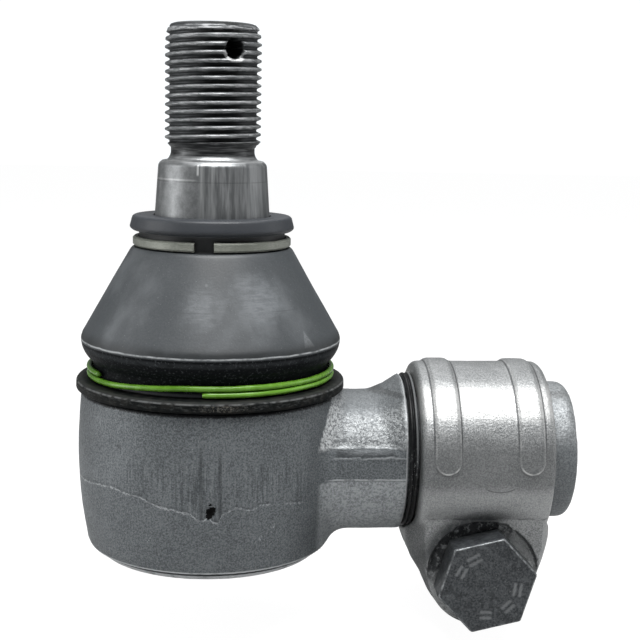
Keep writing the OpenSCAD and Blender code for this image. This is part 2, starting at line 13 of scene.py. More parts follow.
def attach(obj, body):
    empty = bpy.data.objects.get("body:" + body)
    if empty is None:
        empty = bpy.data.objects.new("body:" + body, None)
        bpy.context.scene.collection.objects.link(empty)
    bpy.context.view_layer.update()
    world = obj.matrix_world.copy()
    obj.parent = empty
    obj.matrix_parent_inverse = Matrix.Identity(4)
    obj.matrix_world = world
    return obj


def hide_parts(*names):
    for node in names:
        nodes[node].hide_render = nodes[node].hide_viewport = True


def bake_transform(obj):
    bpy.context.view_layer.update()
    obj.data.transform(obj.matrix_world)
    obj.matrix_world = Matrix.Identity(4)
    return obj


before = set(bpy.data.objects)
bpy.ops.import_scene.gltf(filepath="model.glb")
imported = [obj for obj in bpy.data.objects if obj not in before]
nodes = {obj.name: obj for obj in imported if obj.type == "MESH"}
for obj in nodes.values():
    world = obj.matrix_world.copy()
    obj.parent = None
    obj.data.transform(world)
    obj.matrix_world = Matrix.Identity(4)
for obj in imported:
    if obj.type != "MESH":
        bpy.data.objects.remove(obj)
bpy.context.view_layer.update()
scene = bpy.context.scene
scene.view_settings.view_transform = "Standard"

MM = 0.001
TAU = 2 * math.pi

# Camera
CAMERA_AT = (4.05, -318.26, 85.0)
CAMERA_YAW, CAMERA_PITCH, CAMERA_ROLL = (math.radians(a) for a in (4.28, 9.08, 1.22))
FOCAL_PX, IMAGE_PX, SENSOR = 1252.5, 640, 36.0

# Ball stud
BALL_R, NECK_R, TAPER_Z, TAPER_R, TAPER_L = 20.0, 11.0, 60.8, 14.45, 13.6
TAPER_TOP_R = TAPER_R - TAPER_L / 16
TAPER_TOP_Z = TAPER_Z + TAPER_L
STUD_PITCH, STUD_CREST, STUD_ROOT = 2.0, 12.0, 10.85
RELIEF_R, RELIEF_TOP_Z, STUD_TOP_Z = 10.47, 78.3, 107.9
PIN_HOLE_Z, PIN_HOLE_R, PIN_HOLE_TURN = 101.5, 2.5, 28.0

# Housing
POT_R, POT_TOP_R, POT_LOW_R, SHOULDER_Z, POT_LOW_Z = 33.8, 32.9, 31.8, 16.7, -20.9
RIM_TOP_Z, RIM_IN_R = -22.8, 26
ARM_R, ARM_DROP, FLANGE_X, SHANK_L = 18.2, 2.65, 49.4, 93.0
ROD_CORE_R, ROD_ROOT_R, ROD_PITCH, ROD_LOW_X = 13.08, 14.0, 1.5, 43.0

# Clamp with its bolt and nut. The seat and the head lie on the front side.
CLAMP_R, CLAMP_BORE_R, RIB_ASIDE, RIB_HALF, RIB_END_Z = 23.2, 19.5, 10.5, 3.0, 2.6
BOLT_X, BOLT_DROP, BOLT_END_Y, BOLT_R, BOLT_ROOT_R, BOLT_PITCH = 69.1, 28.3, 31.7, 7.0, 5.95, 2.0
SEAT_Y, HEAD_H, HEX_W, HEAD_TURN = 17.2, 8.8, 22.0, 13
FACE_Y = -SEAT_Y - HEAD_H

# Boot and its wire ring. The boot's outline is given by radius, height and the corner's rounding.
BOOT_SEAM_Z = 34.0
BOOT_OUTLINE = [
    (26.95, 17.0, 0.3), (34.0, 17.0, 0.15), (34.25, 17.3, 0.15), (34.2, 19.0, 0.15),
    (33.8, 19.5, 0.2), (29.9, 19.8, 0.2), (29.9, 23.8, 1.0), (31.6, 25.5, 1.5),
    (32.7, 27.5, 1.2), (33.0, 29.2, 0.25), (33.0, 29.8, 0.25), (32.7, 30.9, 0.8),
    (32.0, 32.1, 1.2), (20.5, 52.1, 0.3), (19.9, 52.7, 0.3), (18.4, 52.8, 0.2),
    (18.4, 56.8, 0.3), (19.9, 56.9, 0.3), (20.8, 57.6, 0.5), (20.1, 60.3, 0.4),
    (19.5, 60.7, 0.4), (14.75, 60.7, 0.2), (14.75, 51.7, 0.8), (17.2, 50.1, 1.0),
    (29.3, 31.9, 1.2), (30.0, 28.4, 0.8), (28.3, 25.4, 0.4), (28.3, 22.5, 0.3),
    (26.9, 22.4, 0.3)
]
LIP_TOP_Z, FOLD_Z, COLLAR_Z = 20.2, 29.4, 57.2
WIRE_R, WIRE_PATH_R, WIRE_LOW_Z = 0.7, 30.9, 20.75
WIRE_TURNS, WIRE_RISE, WIRE_START = 1.84, 1.45, -93.0

FLOOR_Z = -45.2


def make_camera():
    """The camera that was fitted to the photograph."""
    yaw, pitch, roll = CAMERA_YAW, CAMERA_PITCH, CAMERA_ROLL
    ahead = Vector((math.sin(yaw) * math.cos(pitch), math.cos(yaw) * math.cos(pitch), -math.sin(pitch)))
    level = Vector((math.cos(yaw), -math.sin(yaw), 0))
    over = level.cross(ahead)
    right = level * math.cos(roll) + over * math.sin(roll)
    up = over * math.cos(roll) - level * math.sin(roll)
    data = bpy.data.cameras.new("camera")
    data.sensor_width = SENSOR
    data.lens = FOCAL_PX * SENSOR / IMAGE_PX
    data.clip_start, data.clip_end = 0.01, 20
    camera = bpy.data.objects.new("camera", data)
    scene.collection.objects.link(camera)
    turn = Matrix((right, up, -ahead)).transposed().to_4x4()
    camera.matrix_world = Matrix.Translation(Vector(CAMERA_AT) * MM) @ turn
    scene.camera = camera


# Meshes
def shade_smooth(mesh):
    mesh.polygons.foreach_set("use_smooth", [True] * len(mesh.polygons))


def new_object(name, vertices, faces):
    """A smooth mesh object."""
    mesh = bpy.data.meshes.new(name)
    mesh.from_pydata((np.asarray(vertices, float) * MM).tolist(), [], faces)
    mesh.validate()
    shade_smooth(mesh)
    mesh.update()
    made = bpy.data.objects.new(name, mesh)
    scene.collection.objects.link(made)
    return made


def ring_mesh(name, rings, closed):
    """A closed mesh from rings of points, joined end to start if closed and capped otherwise."""
    rings = np.asarray(rings, float)
    rows, cols = rings.shape[:2]
    faces = []
    for i in range(rows if closed else rows - 1):
        a, b = i * cols, (i + 1) % rows * cols
        faces += [(a + j, a + (j + 1) % cols, b + (j + 1) % cols, b + j) for j in range(cols)]
    if not closed:
        faces += [tuple(range(cols))[::-1], tuple((rows - 1) * cols + j for j in range(cols))]
    return new_object(name, rings.reshape(-1, 3), faces)


def turned(name, radii, heights, cols, closed=False, axis="z", phase=0.0):
    """A lathe about an axis. radii holds one radius for each height, or a row of them."""
    heights = np.asarray(heights, float)
    radii = np.asarray(radii, float)
    if radii.ndim == 1:
        radii = np.repeat(radii[:, None], cols, 1)
    angle = np.arange(cols) * TAU / cols + phase
    a, b = radii * np.cos(angle), radii * np.sin(angle)
    h = np.repeat(heights[:, None], cols, 1)
    order = {"z": (a, b, h), "x": (h, a, b), "y": (b, h, a)}[axis]
    return ring_mesh(name, np.stack(order, -1), closed)


def rounded(points, radius, steps=4, closed=True):
    """The outline with each corner rounded, by its own radius if it has one."""
    corners = [np.array(p[:2], float) for p in points]
    radii = [p[2] if len(p) > 2 else radius for p in points]
    out = []
    for i, p in enumerate(corners):
        if not closed and i in (0, len(corners) - 1):
            out.append(p)
            continue
        back, on = corners[i - 1] - p, corners[(i + 1) % len(corners)] - p
        back_length, on_length = np.linalg.norm(back), np.linalg.norm(on)
        reach = min(radii[i], back_length * 0.45, on_length * 0.45)
        start, end = p + back * reach / back_length, p + on * reach / on_length
        for k in range(steps + 1):
            t = k / steps
            out.append(start * (1 - t) ** 2 + p * 2 * t * (1 - t) + end * t * t)
    return np.array(out)


def resampled(points, step, closed=True):
    """The outline with its long stretches cut to at most step."""
    out = []
    count = len(points)
    for i in range(count if closed else count - 1):
        a, b = points[i], points[(i + 1) % count]
        parts = max(1, math.ceil(np.linalg.norm(b - a) / step))
        out += [a + (b - a) * k / parts for k in range(parts)]
    if not closed:
        out.append(points[-1])
    return np.array(out)


def rows_of(items, key, width, kind=float):
    """A property of a mesh's vertices, edges or faces, as an array with a row for each."""
    values = np.zeros(len(items) * width, kind)
    items.foreach_get(key, values)
    return values.reshape(-1, width)


def coords(mesh):
    return rows_of(mesh.vertices, "co", 3) / MM


def put_coords(mesh, co):
    mesh.vertices.foreach_set("co", (co * MM).ravel())
    mesh.update()


def normals(mesh):
    return rows_of(mesh.vertices, "normal", 3)


def edge_ends(mesh):
    return rows_of(mesh.edges, "vertices", 2, int)


def noise_at(co, size, octaves=1, seed=0.0):
    """Smooth noise of about -1 to 1 with features of that size, at each point."""
    shift = Vector((seed * 7.1, seed * 3.7, seed * 5.3))
    scaled = (co / size).tolist()
    if octaves == 1:
        return np.array([noise.noise(Vector(p) + shift) for p in scaled])
    return np.array([noise.fractal(Vector(p) + shift, 1.0, 2.0, octaves) for p in scaled])


def smooth_step(x, low, high):
    """0 at low and 1 at high, with a soft change between them."""
    t = np.clip((x - low) / (high - low), 0, 1)
    return t * t * (3 - 2 * t)


def relax(mesh, weight, rounds):
    """Smooths the mesh where weight is above 0."""
    a, b = edge_ends(mesh).T
    co = coords(mesh)
    count = np.bincount(a, minlength=len(co)) + np.bincount(b, minlength=len(co))
    for _ in range(rounds):
        total = [np.bincount(a, co[b, k], len(co)) + np.bincount(b, co[a, k], len(co)) for k in range(3)]
        middle = np.stack(total, 1) / count[:, None]
        co += (middle - co) * 0.5 * weight[:, None]
    put_coords(mesh, co)


def apply_modifiers(obj):
    """Gives the object the mesh that its modifiers make."""
    bpy.context.view_layer.update()
    seen = obj.evaluated_get(bpy.context.evaluated_depsgraph_get())
    mesh = bpy.data.meshes.new_from_object(seen)
    obj.modifiers.clear()
    obj.data = mesh
    shade_smooth(mesh)


def even_copy(node, name, voxel):
    """A new object with the CAD node's shape on an even mesh, which can take surface detail."""
    made = bpy.data.objects.new(name, nodes[node].data.copy())
    scene.collection.objects.link(made)
    remesh = made.modifiers.new("even", "REMESH")
    remesh.mode = "VOXEL"
    remesh.voxel_size = voxel * MM
    apply_modifiers(made)
    return made


def cut(target, tool):
    """Cuts the closed mesh tool out of target, and removes tool."""
    step = target.modifiers.new("cut", "BOOLEAN")
    step.operation = "DIFFERENCE"
    step.object = tool
    step.solver = "MANIFOLD"
    apply_modifiers(target)
    bpy.data.objects.remove(tool)


def stand_in(obj, body, slot, material, *replaced):
    """Puts a finished piece on its body, in place of the CAD nodes it stands for."""
    obj.data.materials.clear()
    obj.data.materials.append(material)
    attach(obj, body)
    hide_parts(*replaced)


# Materials
class Value:
    """The output of a shader node, which takes arithmetic and gives new nodes."""

    def __init__(self, look, socket):
        self.look, self.socket = look, socket

    def math(self, operation, *others):
        return self.look.math(operation, self, *others)

    def __add__(self, other):
        return self.math("ADD", other)

    def __sub__(self, other):
        return self.math("SUBTRACT", other)

    def __rsub__(self, other):
        return self.look.math("SUBTRACT", other, self)

    def __mul__(self, other):
        return self.math("MULTIPLY", other)

    def __truediv__(self, other):
        return self.math("DIVIDE", other)

    def __mod__(self, other):
        return self.math("FLOORED_MODULO", other)

    def __abs__(self):
        return self.math("ABSOLUTE")

    def ramp(self, low, high, to_low=0, to_high=1):
        """A soft change from to_low at low to to_high at high."""
        ends = {"From Min": low, "From Max": high, "To Min": to_low, "To Max": to_high}
        return self.look.add("MapRange", {"Value": self, **ends}, interpolation_type="SMOOTHSTEP")

    def fade(self, low, high):
        """1 up to low, falling to 0 at high."""
        return self.ramp(low, high, 1, 0)

    def between(self, start, low, high, end):
        """1 from low to high, falling to 0 at start and at end."""
        return self.ramp(start, low) * self.fade(high, end)

    def line(self, at, half, soft):
        """1 within half of at, falling to 0 at soft from it."""
        return abs(self - at).fade(half, soft)


class Look:
    """A Principled material and short ways to add nodes to it."""

    def __init__(self, name, color, roughness, metallic=0, coords_from=None):
        self.material = bpy.data.materials.new(name)
        self.material.use_nodes = True
        self.tree = self.material.node_tree
        self.shader = self.tree.nodes["Principled BSDF"]
        self.base(Base_Color=color, Roughness=roughness, Metallic=metallic)
        if coords_from:
            self.place = self.add("Attribute", {}, "Vector", attribute_name=coords_from)
        else:
            self.place = self.add("TexCoord", {}, "Object")

    def set(self, node, key, value):
        """Links a value to a node's input, or gives the input a constant."""
        where = node.inputs[key]
        if isinstance(value, Value):
            self.tree.links.new(value.socket, where)
        elif where.type == "RGBA":
            where.default_value = (*value, 1)
        else:
            where.default_value = value

    def add(self, kind, inputs, output=0, **settings):
        """A new node with its inputs and settings. Returns one of its outputs."""
        node = self.tree.nodes.new("ShaderNode" + kind)
        for key, value in settings.items():
            setattr(node, key, value)
        for key, value in inputs.items():
            self.set(node, key, value)
        return Value(self, node.outputs[output])

    def base(self, **sockets):
        """Sets the shader's own sockets. An underscore stands for a space."""
        for key, value in sockets.items():
            self.set(self.shader, key.replace("_", " "), value)

    def math(self, operation, *values):
        return self.add("Math", dict(enumerate(values)), operation=operation)

    def larger(self, a, b):
        return self.math("MAXIMUM", a, b)

    def length(self, a, b):
        """Length of the slope whose sides are a and b."""
        return self.math("SQRT", a * a + b * b)

    def angle(self, y, x):
        """Angle of a direction in degrees."""
        return self.math("ARCTAN2", y, x) * (180 / math.pi)

    def distance(self, at):
        """Distance from a point."""
        point = tuple(value * MM for value in at)
        return self.add("VectorMath", {0: self.place, 1: point}, 1, operation="DISTANCE") * (1 / MM)

    def near(self, at, size):
        """1 at a point, falling to 0 at that distance from it."""
        return self.distance(at).fade(0, size)

    def locate(self):
        """Sets x, y and z to the place of each point."""
        node = self.tree.nodes.new("ShaderNodeSeparateXYZ")
        self.set(node, 0, self.place)
        self.x, self.y, self.z = [Value(self, output) * (1 / MM) for output in node.outputs]

    def noise(self, size, detail=2, rough=0.5, stretch=None, distortion=0):
        """Noise from 0 to 1 with features of that size. stretch divides the size along x, y and z."""
        place = self.place
        if stretch:
            place = self.add("Mapping", {"Vector": place, "Scale": stretch})
        kind = {"Scale": 1 / (size * MM), "Detail": detail, "Roughness": rough, "Distortion": distortion}
        return self.add("TexNoise", {"Vector": place, **kind})

    def mix(self, share, a, b):
        """A colour between a and b."""
        return self.add("Mix", {0: share, 6: a, 7: b}, 2, data_type="RGBA")

    def paint(self, color, share, *where):
        """Mixes a colour into the look's own, by a share of the product of where."""
        for mask in where:
            share = mask * share
        self.color = self.mix(share, self.color, color)

    def bump(self, height, depth):
        """Bump of that depth over a height of 0 to 1."""
        return self.add("Bump", {"Height": height, "Distance": depth * MM, "Strength": 1})


def blasted(name, dark, light, metallic, rough, grain, depth):
    """Shot-blasted forged steel: fine grain over a slow, faint change of tone."""
    look = Look(name, light, rough, metallic)
    look.locate()
    fine = look.noise(grain, 2, 0.65)
    slow = look.noise(9, 3, 0.6) * 0.18
    look.color = look.mix((fine * 0.82 + slow).ramp(0.36, 0.64), dark, light)
    look.rough = look.noise(grain * 1.7).ramp(0.3, 0.7, rough - 0.06, rough + 0.06)
    look.height = look.noise(grain * 1.8, 2, 0.55) * 0.6 + fine * 0.4
    look.depth = depth
    return look


def close(look):
    """Connects what blasted() and the features over it have made."""
    look.base(Base_Color=look.color, Roughness=look.rough, Normal=look.bump(look.height, look.depth))
    return look.material


def plain_look(name, low, high, rough, metallic, grain, depth=0.03, stretch=None):
    """A finish of two near tones with grain and bump, for small and inner pieces."""
    look = Look(name, high, rough, metallic)
    fine = look.noise(grain, 3, 0.6, stretch=stretch)
    wide = look.noise(grain * 9)
    tone = (wide * 0.5 + fine * 0.5).ramp(0.38, 0.62)
    look.base(Base_Color=look.mix(tone, low, high), Normal=look.bump(fine, depth))
    look.base(Roughness=fine.ramp(0.3, 0.7, rough - 0.06, rough + 0.06))
    return look.material


# Steel of the housing. The trim line is given by its angle from the shank in degrees and its height.
TRIM_LINE = [
    (-180, -5.2), (-157, -4.8), (-148.5, -4.3), (-142, -3.8), (-132, -3.3), (-126, -4.1),
    (-119, -4.2), (-112, -5.9), (-104, -6.6), (-97, -7.4), (-94.5, -8.9), (-92, -8.8),
    (-90, -8.1), (-88, -9.4), (-86, -9.6), (-84.5, -7.4), (-79, -5.8), (-73, -6.8),
    (-69, -5.8), (-64, -5.7), (-54.5, -6.4), (-46, -7.4), (0, -7)
]
TRIM_LOW, TRIM_HIGH = -12, 0
PIT = (0.4, -33.6, -6.9)
PIT_SPOTS = [
    ((0.4, -33.2, -7), 1.2), ((0.5, -33.6, -5), 0.55), ((0.9, -33.2, -6.3), 1),
    ((0.1, -33.2, -7.8), 0.95)
]
RUBBED_SPOTS = [(12.2, -30.6, -14.5), (15.4, -29, -12.6), (-14.5, -29.6, -14.6), (-27, -20, 12)]
BARE_STEEL_AND_HIGHLIGHT = (0.5, 0.52, 0.53)
EDGE_HIGHLIGHT = (0.55, 0.57, 0.58)
LIT_STEEL = (0.42, 0.44, 0.45)
CREVICE_SHADE = (0.035, 0.039, 0.042)


def trim_level(look):
    """Height of the stepped trim line round the pot."""
    node = look.tree.nodes.new("ShaderNodeFloatCurve")
    curve = node.mapping.curves[0]
    span = TRIM_HIGH - TRIM_LOW
    spots = [((angle + 180) / 180, (height - TRIM_LOW) / span) for angle, height in TRIM_LINE]
    curve.points[0].location, curve.points[1].location = spots[0], spots[-1]
    for spot in spots[1:-1]:
        curve.points.new(*spot)
    for point in curve.points:
        point.handle_type = "VECTOR"
    node.mapping.update()
    look.set(node, "Value", look.turn / 180)
    return Value(look, node.outputs[0]) * span + TRIM_LOW


def trim_masks(look):
    """Height over the trim line with its small jags, and how strongly the line shows."""
    jag = look.noise(0.9, 3, 0.8) * 1.7 - 0.85
    off = look.z - (trim_level(look) + jag)
    strong = look.noise(1.3, 2, 0.6).ramp(0.4, 0.55, 0.25) * look.pot
    gaps = look.noise(2.1, 2, 0.6).ramp(0.56, 0.46) * look.turn.ramp(106, 112)
    return off, strong * (1 - gaps) * look.turn.fade(129, 135)


def scratch_pot(look, off):
    """Upright die scratches above the trim line, dark and light."""
    comb = look.noise(0.62, 2, 0.75, stretch=(1, 1, 0.05))
    above = off.ramp(0, 0.5) * look.z.fade(1, 8)
    front = look.turn.line(92, 36, 52) * look.pot
    zone = above * front * look.noise(5).ramp(0.3, 0.55)
    look.paint((0.04, 0.045, 0.049), 0.46, comb.ramp(0.54, 0.62), zone)
    look.paint((0.34, 0.36, 0.37), 0.2, comb.ramp(0.46, 0.38), zone)


def shade_and_speck_pot(look):
    """Painted shadow under the boot's lip, and light specks all over."""
    painted_shade_edge = look.noise(1.6, 3, 0.7) * -1.1 + look.z
    under_lip = look.z.fade(SHOULDER_Z, SHOULDER_Z + 0.3)
    # painted shadow along the underside of the lip, with a ragged edge
    look.paint((0.006, 0.007, 0.008), 0.92, painted_shade_edge.ramp(14.9, 15.5), under_lip)
    look.paint((0.4, 0.42, 0.43), 0.4, look.noise(0.5, 2, 0.8).ramp(0.64, 0.72))


def groove_pot(look):
    """Two long upright grooves that end beside the pit, darkened inside them as painted shade."""
    for angle, top, depth in ((86.9, 12, 0.5), (94.6, 11, 0.46)):
        wander = look.noise(3) * 0.8 + (angle - 0.4)
        groove = (look.turn - wander).line(0, 0.3, 0.95)
        groove = groove * look.z.fade(top - 7, top) * look.pot
        groove = groove * look.z.ramp(-9.2, -8.6)
        look.paint((0.03, 0.034, 0.037), depth, groove)
        look.height = look.height - groove * 0.6


def pit_pot(look):
    """The black pit with its small tail, a smudge, and a few rubbed spots."""
    ragged = look.noise(0.6, 3, 0.7) * 1.3 - 0.6
    for spot, size in PIT_SPOTS:
        hole = (look.distance(spot) + ragged).fade(size - 0.25, size)
        look.paint((0.002, 0.002, 0.002), 1, hole)
        look.rough = look.larger(look.rough, hole)
    look.paint((0.05, 0.054, 0.058), 0.6, look.near((-21.5, -26, 7.1), 1.3))
    rub = look.noise(0.7, 3, 0.8, stretch=(1, 1, 0.5)).ramp(0.55, 0.62)
    for spot in RUBBED_SPOTS:
        look.paint(BARE_STEEL_AND_HIGHLIGHT, 0.7, look.near(spot, 2.2), rub)


def rim_light_and_shade(look):
    """The rolled rim: painted highlights on its lower face and its top corner, and painted shade in the
    groove between them.
    """
    low_face = look.z.ramp(-24, -24.2)
    corner = look.z.line(-22.8, 0.12, 0.35)
    look.paint((0.62, 0.63, 0.64), 0.75, low_face, look.noise(2, 3).ramp(0.2, 0.5))
    look.paint((0.66, 0.68, 0.69), 0.75, corner, look.noise(2.5).ramp(0.3, 0.5, 0.4))
    look.paint((0.005, 0.006, 0.006), 0.94, look.z.line(-23.65, 0.2, 0.42))


def roughen_neck(look, neck):
    """The neck's rough top with painted shade on its crown, painted light on its fillet and lower side,
    and the like metal at the tube's end.
    """
    coarse = look.noise(0.7, 3, 0.7, distortion=0.6)
    above = look.z.ramp(3.9, 5)
    start = look.larger(look.z - 5, 0) * -0.32 + look.x
    start = coarse * 1.6 + start - 0.8
    begun = start.ramp(26.4, 27.2)
    rise = look.math("ARCTAN2", look.z + ARM_DROP, abs(look.y))
    crown = rise.ramp(math.radians(44), math.radians(62))
    rugged = above * begun * look.x.ramp(FLANGE_X + 0.2, FLANGE_X - 0.2)
    rugged = rugged * (1 - crown * 0.75)
    speck = look.mix(coarse.ramp(0.38, 0.6), (0.14, 0.148, 0.153), (0.4, 0.415, 0.42))
    look.paint(speck, 0.8, rugged)
    look.height = look.height + rugged * coarse * 1.3
    # painted shade on the neck's crown
    look.paint((0.11, 0.118, 0.123), 0.45, crown, neck)
    # painted light on the fillet by the pot
    fillet = begun * start.ramp(32, 28) * above
    look.paint((0.9, 0.92, 0.93), 0.62, fillet, coarse.ramp(0.4, 0.58, 0.12))
    # painted light on the neck's lower side
    along = look.x.between(26.2, 28, FLANGE_X - 0.6, FLANGE_X - 0.2)
    lower = look.z.ramp(-3.3, -4.2) * along
    look.paint(LIT_STEEL, 0.85, lower, coarse.ramp(0.38, 0.6, 0.3))
    look.paint(speck, 0.5, look.x.ramp(SHANK_L - 7, SHANK_L - 5), look.z.ramp(3, 8))


def mark_band(look, neck):
    """The trimmed flash band on the neck's sides: painted shade in its groove and along a low dark line,
    and painted highlights along its light lines and its dashed lower edge.
    """
    side = neck * abs(look.y).ramp(12, 15)
    torn = look.noise(2.4, 3, 0.7, stretch=(0.6, 1, 1)) * 1.6 - 0.8
    rise = look.z + torn
    patchy = look.noise(2.6, stretch=(0.5, 1, 1)).ramp(0.4, 0.54, 0.12, 1)
    # painted shade in the groove
    groove = rise.line(3.35, 0.7, 1.15)
    look.paint(CREVICE_SHADE, 0.88, groove, side, look.x.between(29.5, 32.5, 45, 47))
    light, faint, dark = (4.65, 0.08, 0.12), (2.15, 0.06, 0.12), (1.7, 0.2, -0.12)
    tones = ((light, 0.6, (0.6, 0.62, 0.63)), (faint, 0.5, LIT_STEEL), (dark, 0.25, CREVICE_SHADE))
    for (height, half, lift), share, tone in tones:
        found = rise.line(height, half, half + 0.3) * side * patchy
        look.paint(tone, share, found)
        look.height = look.height + found * lift
    # a dashed painted highlight along the lower edge
    low_edge = (look.z + torn * 0.35).line(-3.3, 0.08, 0.3)
    look.paint(EDGE_HIGHLIGHT, 0.75, low_edge, side, look.noise(2.2).ramp(0.36, 0.5, 0.35))


def housing_look():
    look = blasted("blasted_housing", (0.078, 0.087, 0.093), (0.186, 0.201, 0.21), 0.5, 0.52, 0.4, 0.16)
    look.turn = look.angle(abs(look.y), look.x * -1)
    look.pot = look.math("LESS_THAN", look.x, 26.5)
    off, strong = trim_masks(look)
    scratch_pot(look, off)
    shade_and_speck_pot(look)
    groove_pot(look)
    # painted shade just above the trim line, and a painted highlight along it
    look.paint((0.045, 0.05, 0.054), 0.4, off.line(0.5, 0.15, 0.45), strong)
    look.paint(BARE_STEEL_AND_HIGHLIGHT, 0.6, off.line(0, 0.1, 0.28), strong)
    pit_pot(look)
    rim_light_and_shade(look)
    neck = look.x.between(28, 32, FLANGE_X - 0.6, FLANGE_X - 0.2)
    roughen_neck(look, neck)
    mark_band(look, neck)
    # a painted highlight along the flange's edge
    look.paint(EDGE_HIGHLIGHT, 0.6, look.x.line(FLANGE_X - 0.4, 0.1, 0.3))
    look.paint((0.3, 0.31, 0.315), 0.14, look.x.ramp(52, 60))
    return close(look)


# Steel of the clamp
def tone_clamp(look):
    """Light speckle round the clamp's ring, and painted light and shade in bands by height: a highlight
    band high up, painted shade on the top and across the middle, and painted light low down.
    """
    look.paint((0.75, 0.75, 0.74), 0.22, look.noise(0.42, 2, 0.7).ramp(0.56, 0.68))
    look.paint((0.62, 0.62, 0.61), 0.45, look.z.line(16, 2, 5))
    look.paint((0.1, 0.105, 0.107), 0.5, look.z.ramp(12, 4), look.z.ramp(-10, -2))
    look.paint((0.16, 0.167, 0.17), 0.4, look.z.ramp(18, 22))
    look.paint((0.6, 0.61, 0.61), 0.24, look.z.line(-9.5, 3, 6.5))


def mark_rib(look, middle, below):
    """A rib's edge: painted shade outside it, and a painted highlight on it round its lower end."""
    reach = look.length(look.x - middle, below)
    # painted shade along the rib's foot
    painted_shade_edge = reach.line(RIB_HALF + 0.42, 0.1, 0.28)
    look.paint((0.05, 0.053, 0.056), 0.75, painted_shade_edge, look.z.ramp(3, 9, 0.25))
    low = look.z.ramp(1.5, 0.5, 0.25)
    # a broken painted highlight on the rib's rounded lower end
    wear_and_highlight = look.noise(2.2).ramp(0.35, 0.55, 0.35)
    look.paint((0.85, 0.85, 0.84), 0.5, reach.line(RIB_HALF, 0.1, 0.3), low, wear_and_highlight)


def mark_ears(look):
    """The arc mark over the front ear, and painted shade along the ledges above both ears."""
    arc = look.length(look.x - 71.9, (look.z + 2.2) * 1.6)
    arc = arc.line(5, 0.12, 0.32) * look.z.ramp(-4.1, -4.7)
    look.paint((0.07, 0.074, 0.077), 0.65, arc, look.y.ramp(0, -1))
    # painted shade along the ledges
    ledge = (look.z + look.noise(3) * 0.7).line(-13, 0.1, 0.35)
    broken = look.noise(2.6).ramp(0.42, 0.52, 0.2)
    look.paint((0.08, 0.084, 0.087), 0.6, ledge, broken, abs(look.y).ramp(16, 17))


def mark_seat(look):
    """The pocket round the bolt head: painted shade with lumps on its upper side and painted light on the
    rest, and a soft painted shadow above it.
    """
    across, over = look.x - BOLT_X, look.z + BOLT_DROP
    away = look.length(across, over)
    lumps = look.noise(1.3, 3, 0.7)
    pocket = (lumps * 1.6 + away).ramp(15, 14.2)
    upward = across * -0.5 + over * 0.866
    upward = upward / away
    high = upward.ramp(0.28, 0.66, 0.1)
    # painted light on the pocket's lower side
    look.paint((0.5, 0.51, 0.51), 0.55, pocket, 1 - high)
    soft = away.ramp(18.6, 15) * upward.ramp(0.5, 0.85)
    look.paint((0.03, 0.033, 0.035), 0.88, soft, lumps.ramp(0.3, 0.5, 0.75))
    # painted shade in the pocket's upper side
    pocket_shade_tone = look.mix(lumps.ramp(0.5, 0.66), (0.02, 0.022, 0.024), (0.3, 0.31, 0.315))
    look.paint(pocket_shade_tone, 1, pocket, high)
    look.height = look.height + pocket * lumps * 2.5


def clamp_look():
    look = blasted("blasted_clamp", (0.17, 0.178, 0.181), (0.38, 0.387, 0.388), 0.6, 0.47, 0.36, 0.15)
    tone_clamp(look)
    below = look.math("MINIMUM", look.z - RIB_END_Z, 0)
    for middle in (BOLT_X - RIB_ASIDE, BOLT_X + RIB_ASIDE):
        mark_rib(look, middle, below)
    mark_ears(look)
    mark_seat(look)
    # the ears' lower ends are a little darker than the ring
    look.paint((0.16, 0.167, 0.17), 0.2, look.z.ramp(-13, -20))
    return close(look)


# Steel of the stud. Angles are about the stud, and -90 degrees faces the camera.
def taper_tone(look, streak, smooth_side):
    """Ground steel with upright streaks, and mottled towards the left."""
    slow = look.noise(2.6) * 0.35 + 0.16
    mottled = look.noise(0.5, 3, 0.7) * 0.3 + slow
    grained = look.add("Mix", {0: smooth_side * 0.85, 2: streak, 3: mottled})
    return look.mix(grained.ramp(0.36, 0.64), (0.17, 0.177, 0.181), (0.33, 0.339, 0.343))


def thread_tone(look, wear_and_highlight):
    """Rolled thread: flanks darker than the crests as painted shade, crests rubbed bright but for nicks,
    and a painted shadow over the roots on one side.
    """
    crest = look.radial.ramp(10.8, 11.7)
    bright = look.mix(wear_and_highlight, (0.14, 0.146, 0.15), (0.36, 0.37, 0.375))
    rolled = look.mix(crest, (0.055, 0.058, 0.061), bright)
    patchy = look.noise(4, 2, 0.6, stretch=(1, 1, 2))
    patchy = patchy * 30 + look.aim - 15
    side_shadow = patchy.line(-76, 12, 34) * crest.ramp(0.75, 0.2)
    return look.mix(side_shadow * 0.9, rolled, (0.006, 0.007, 0.007))


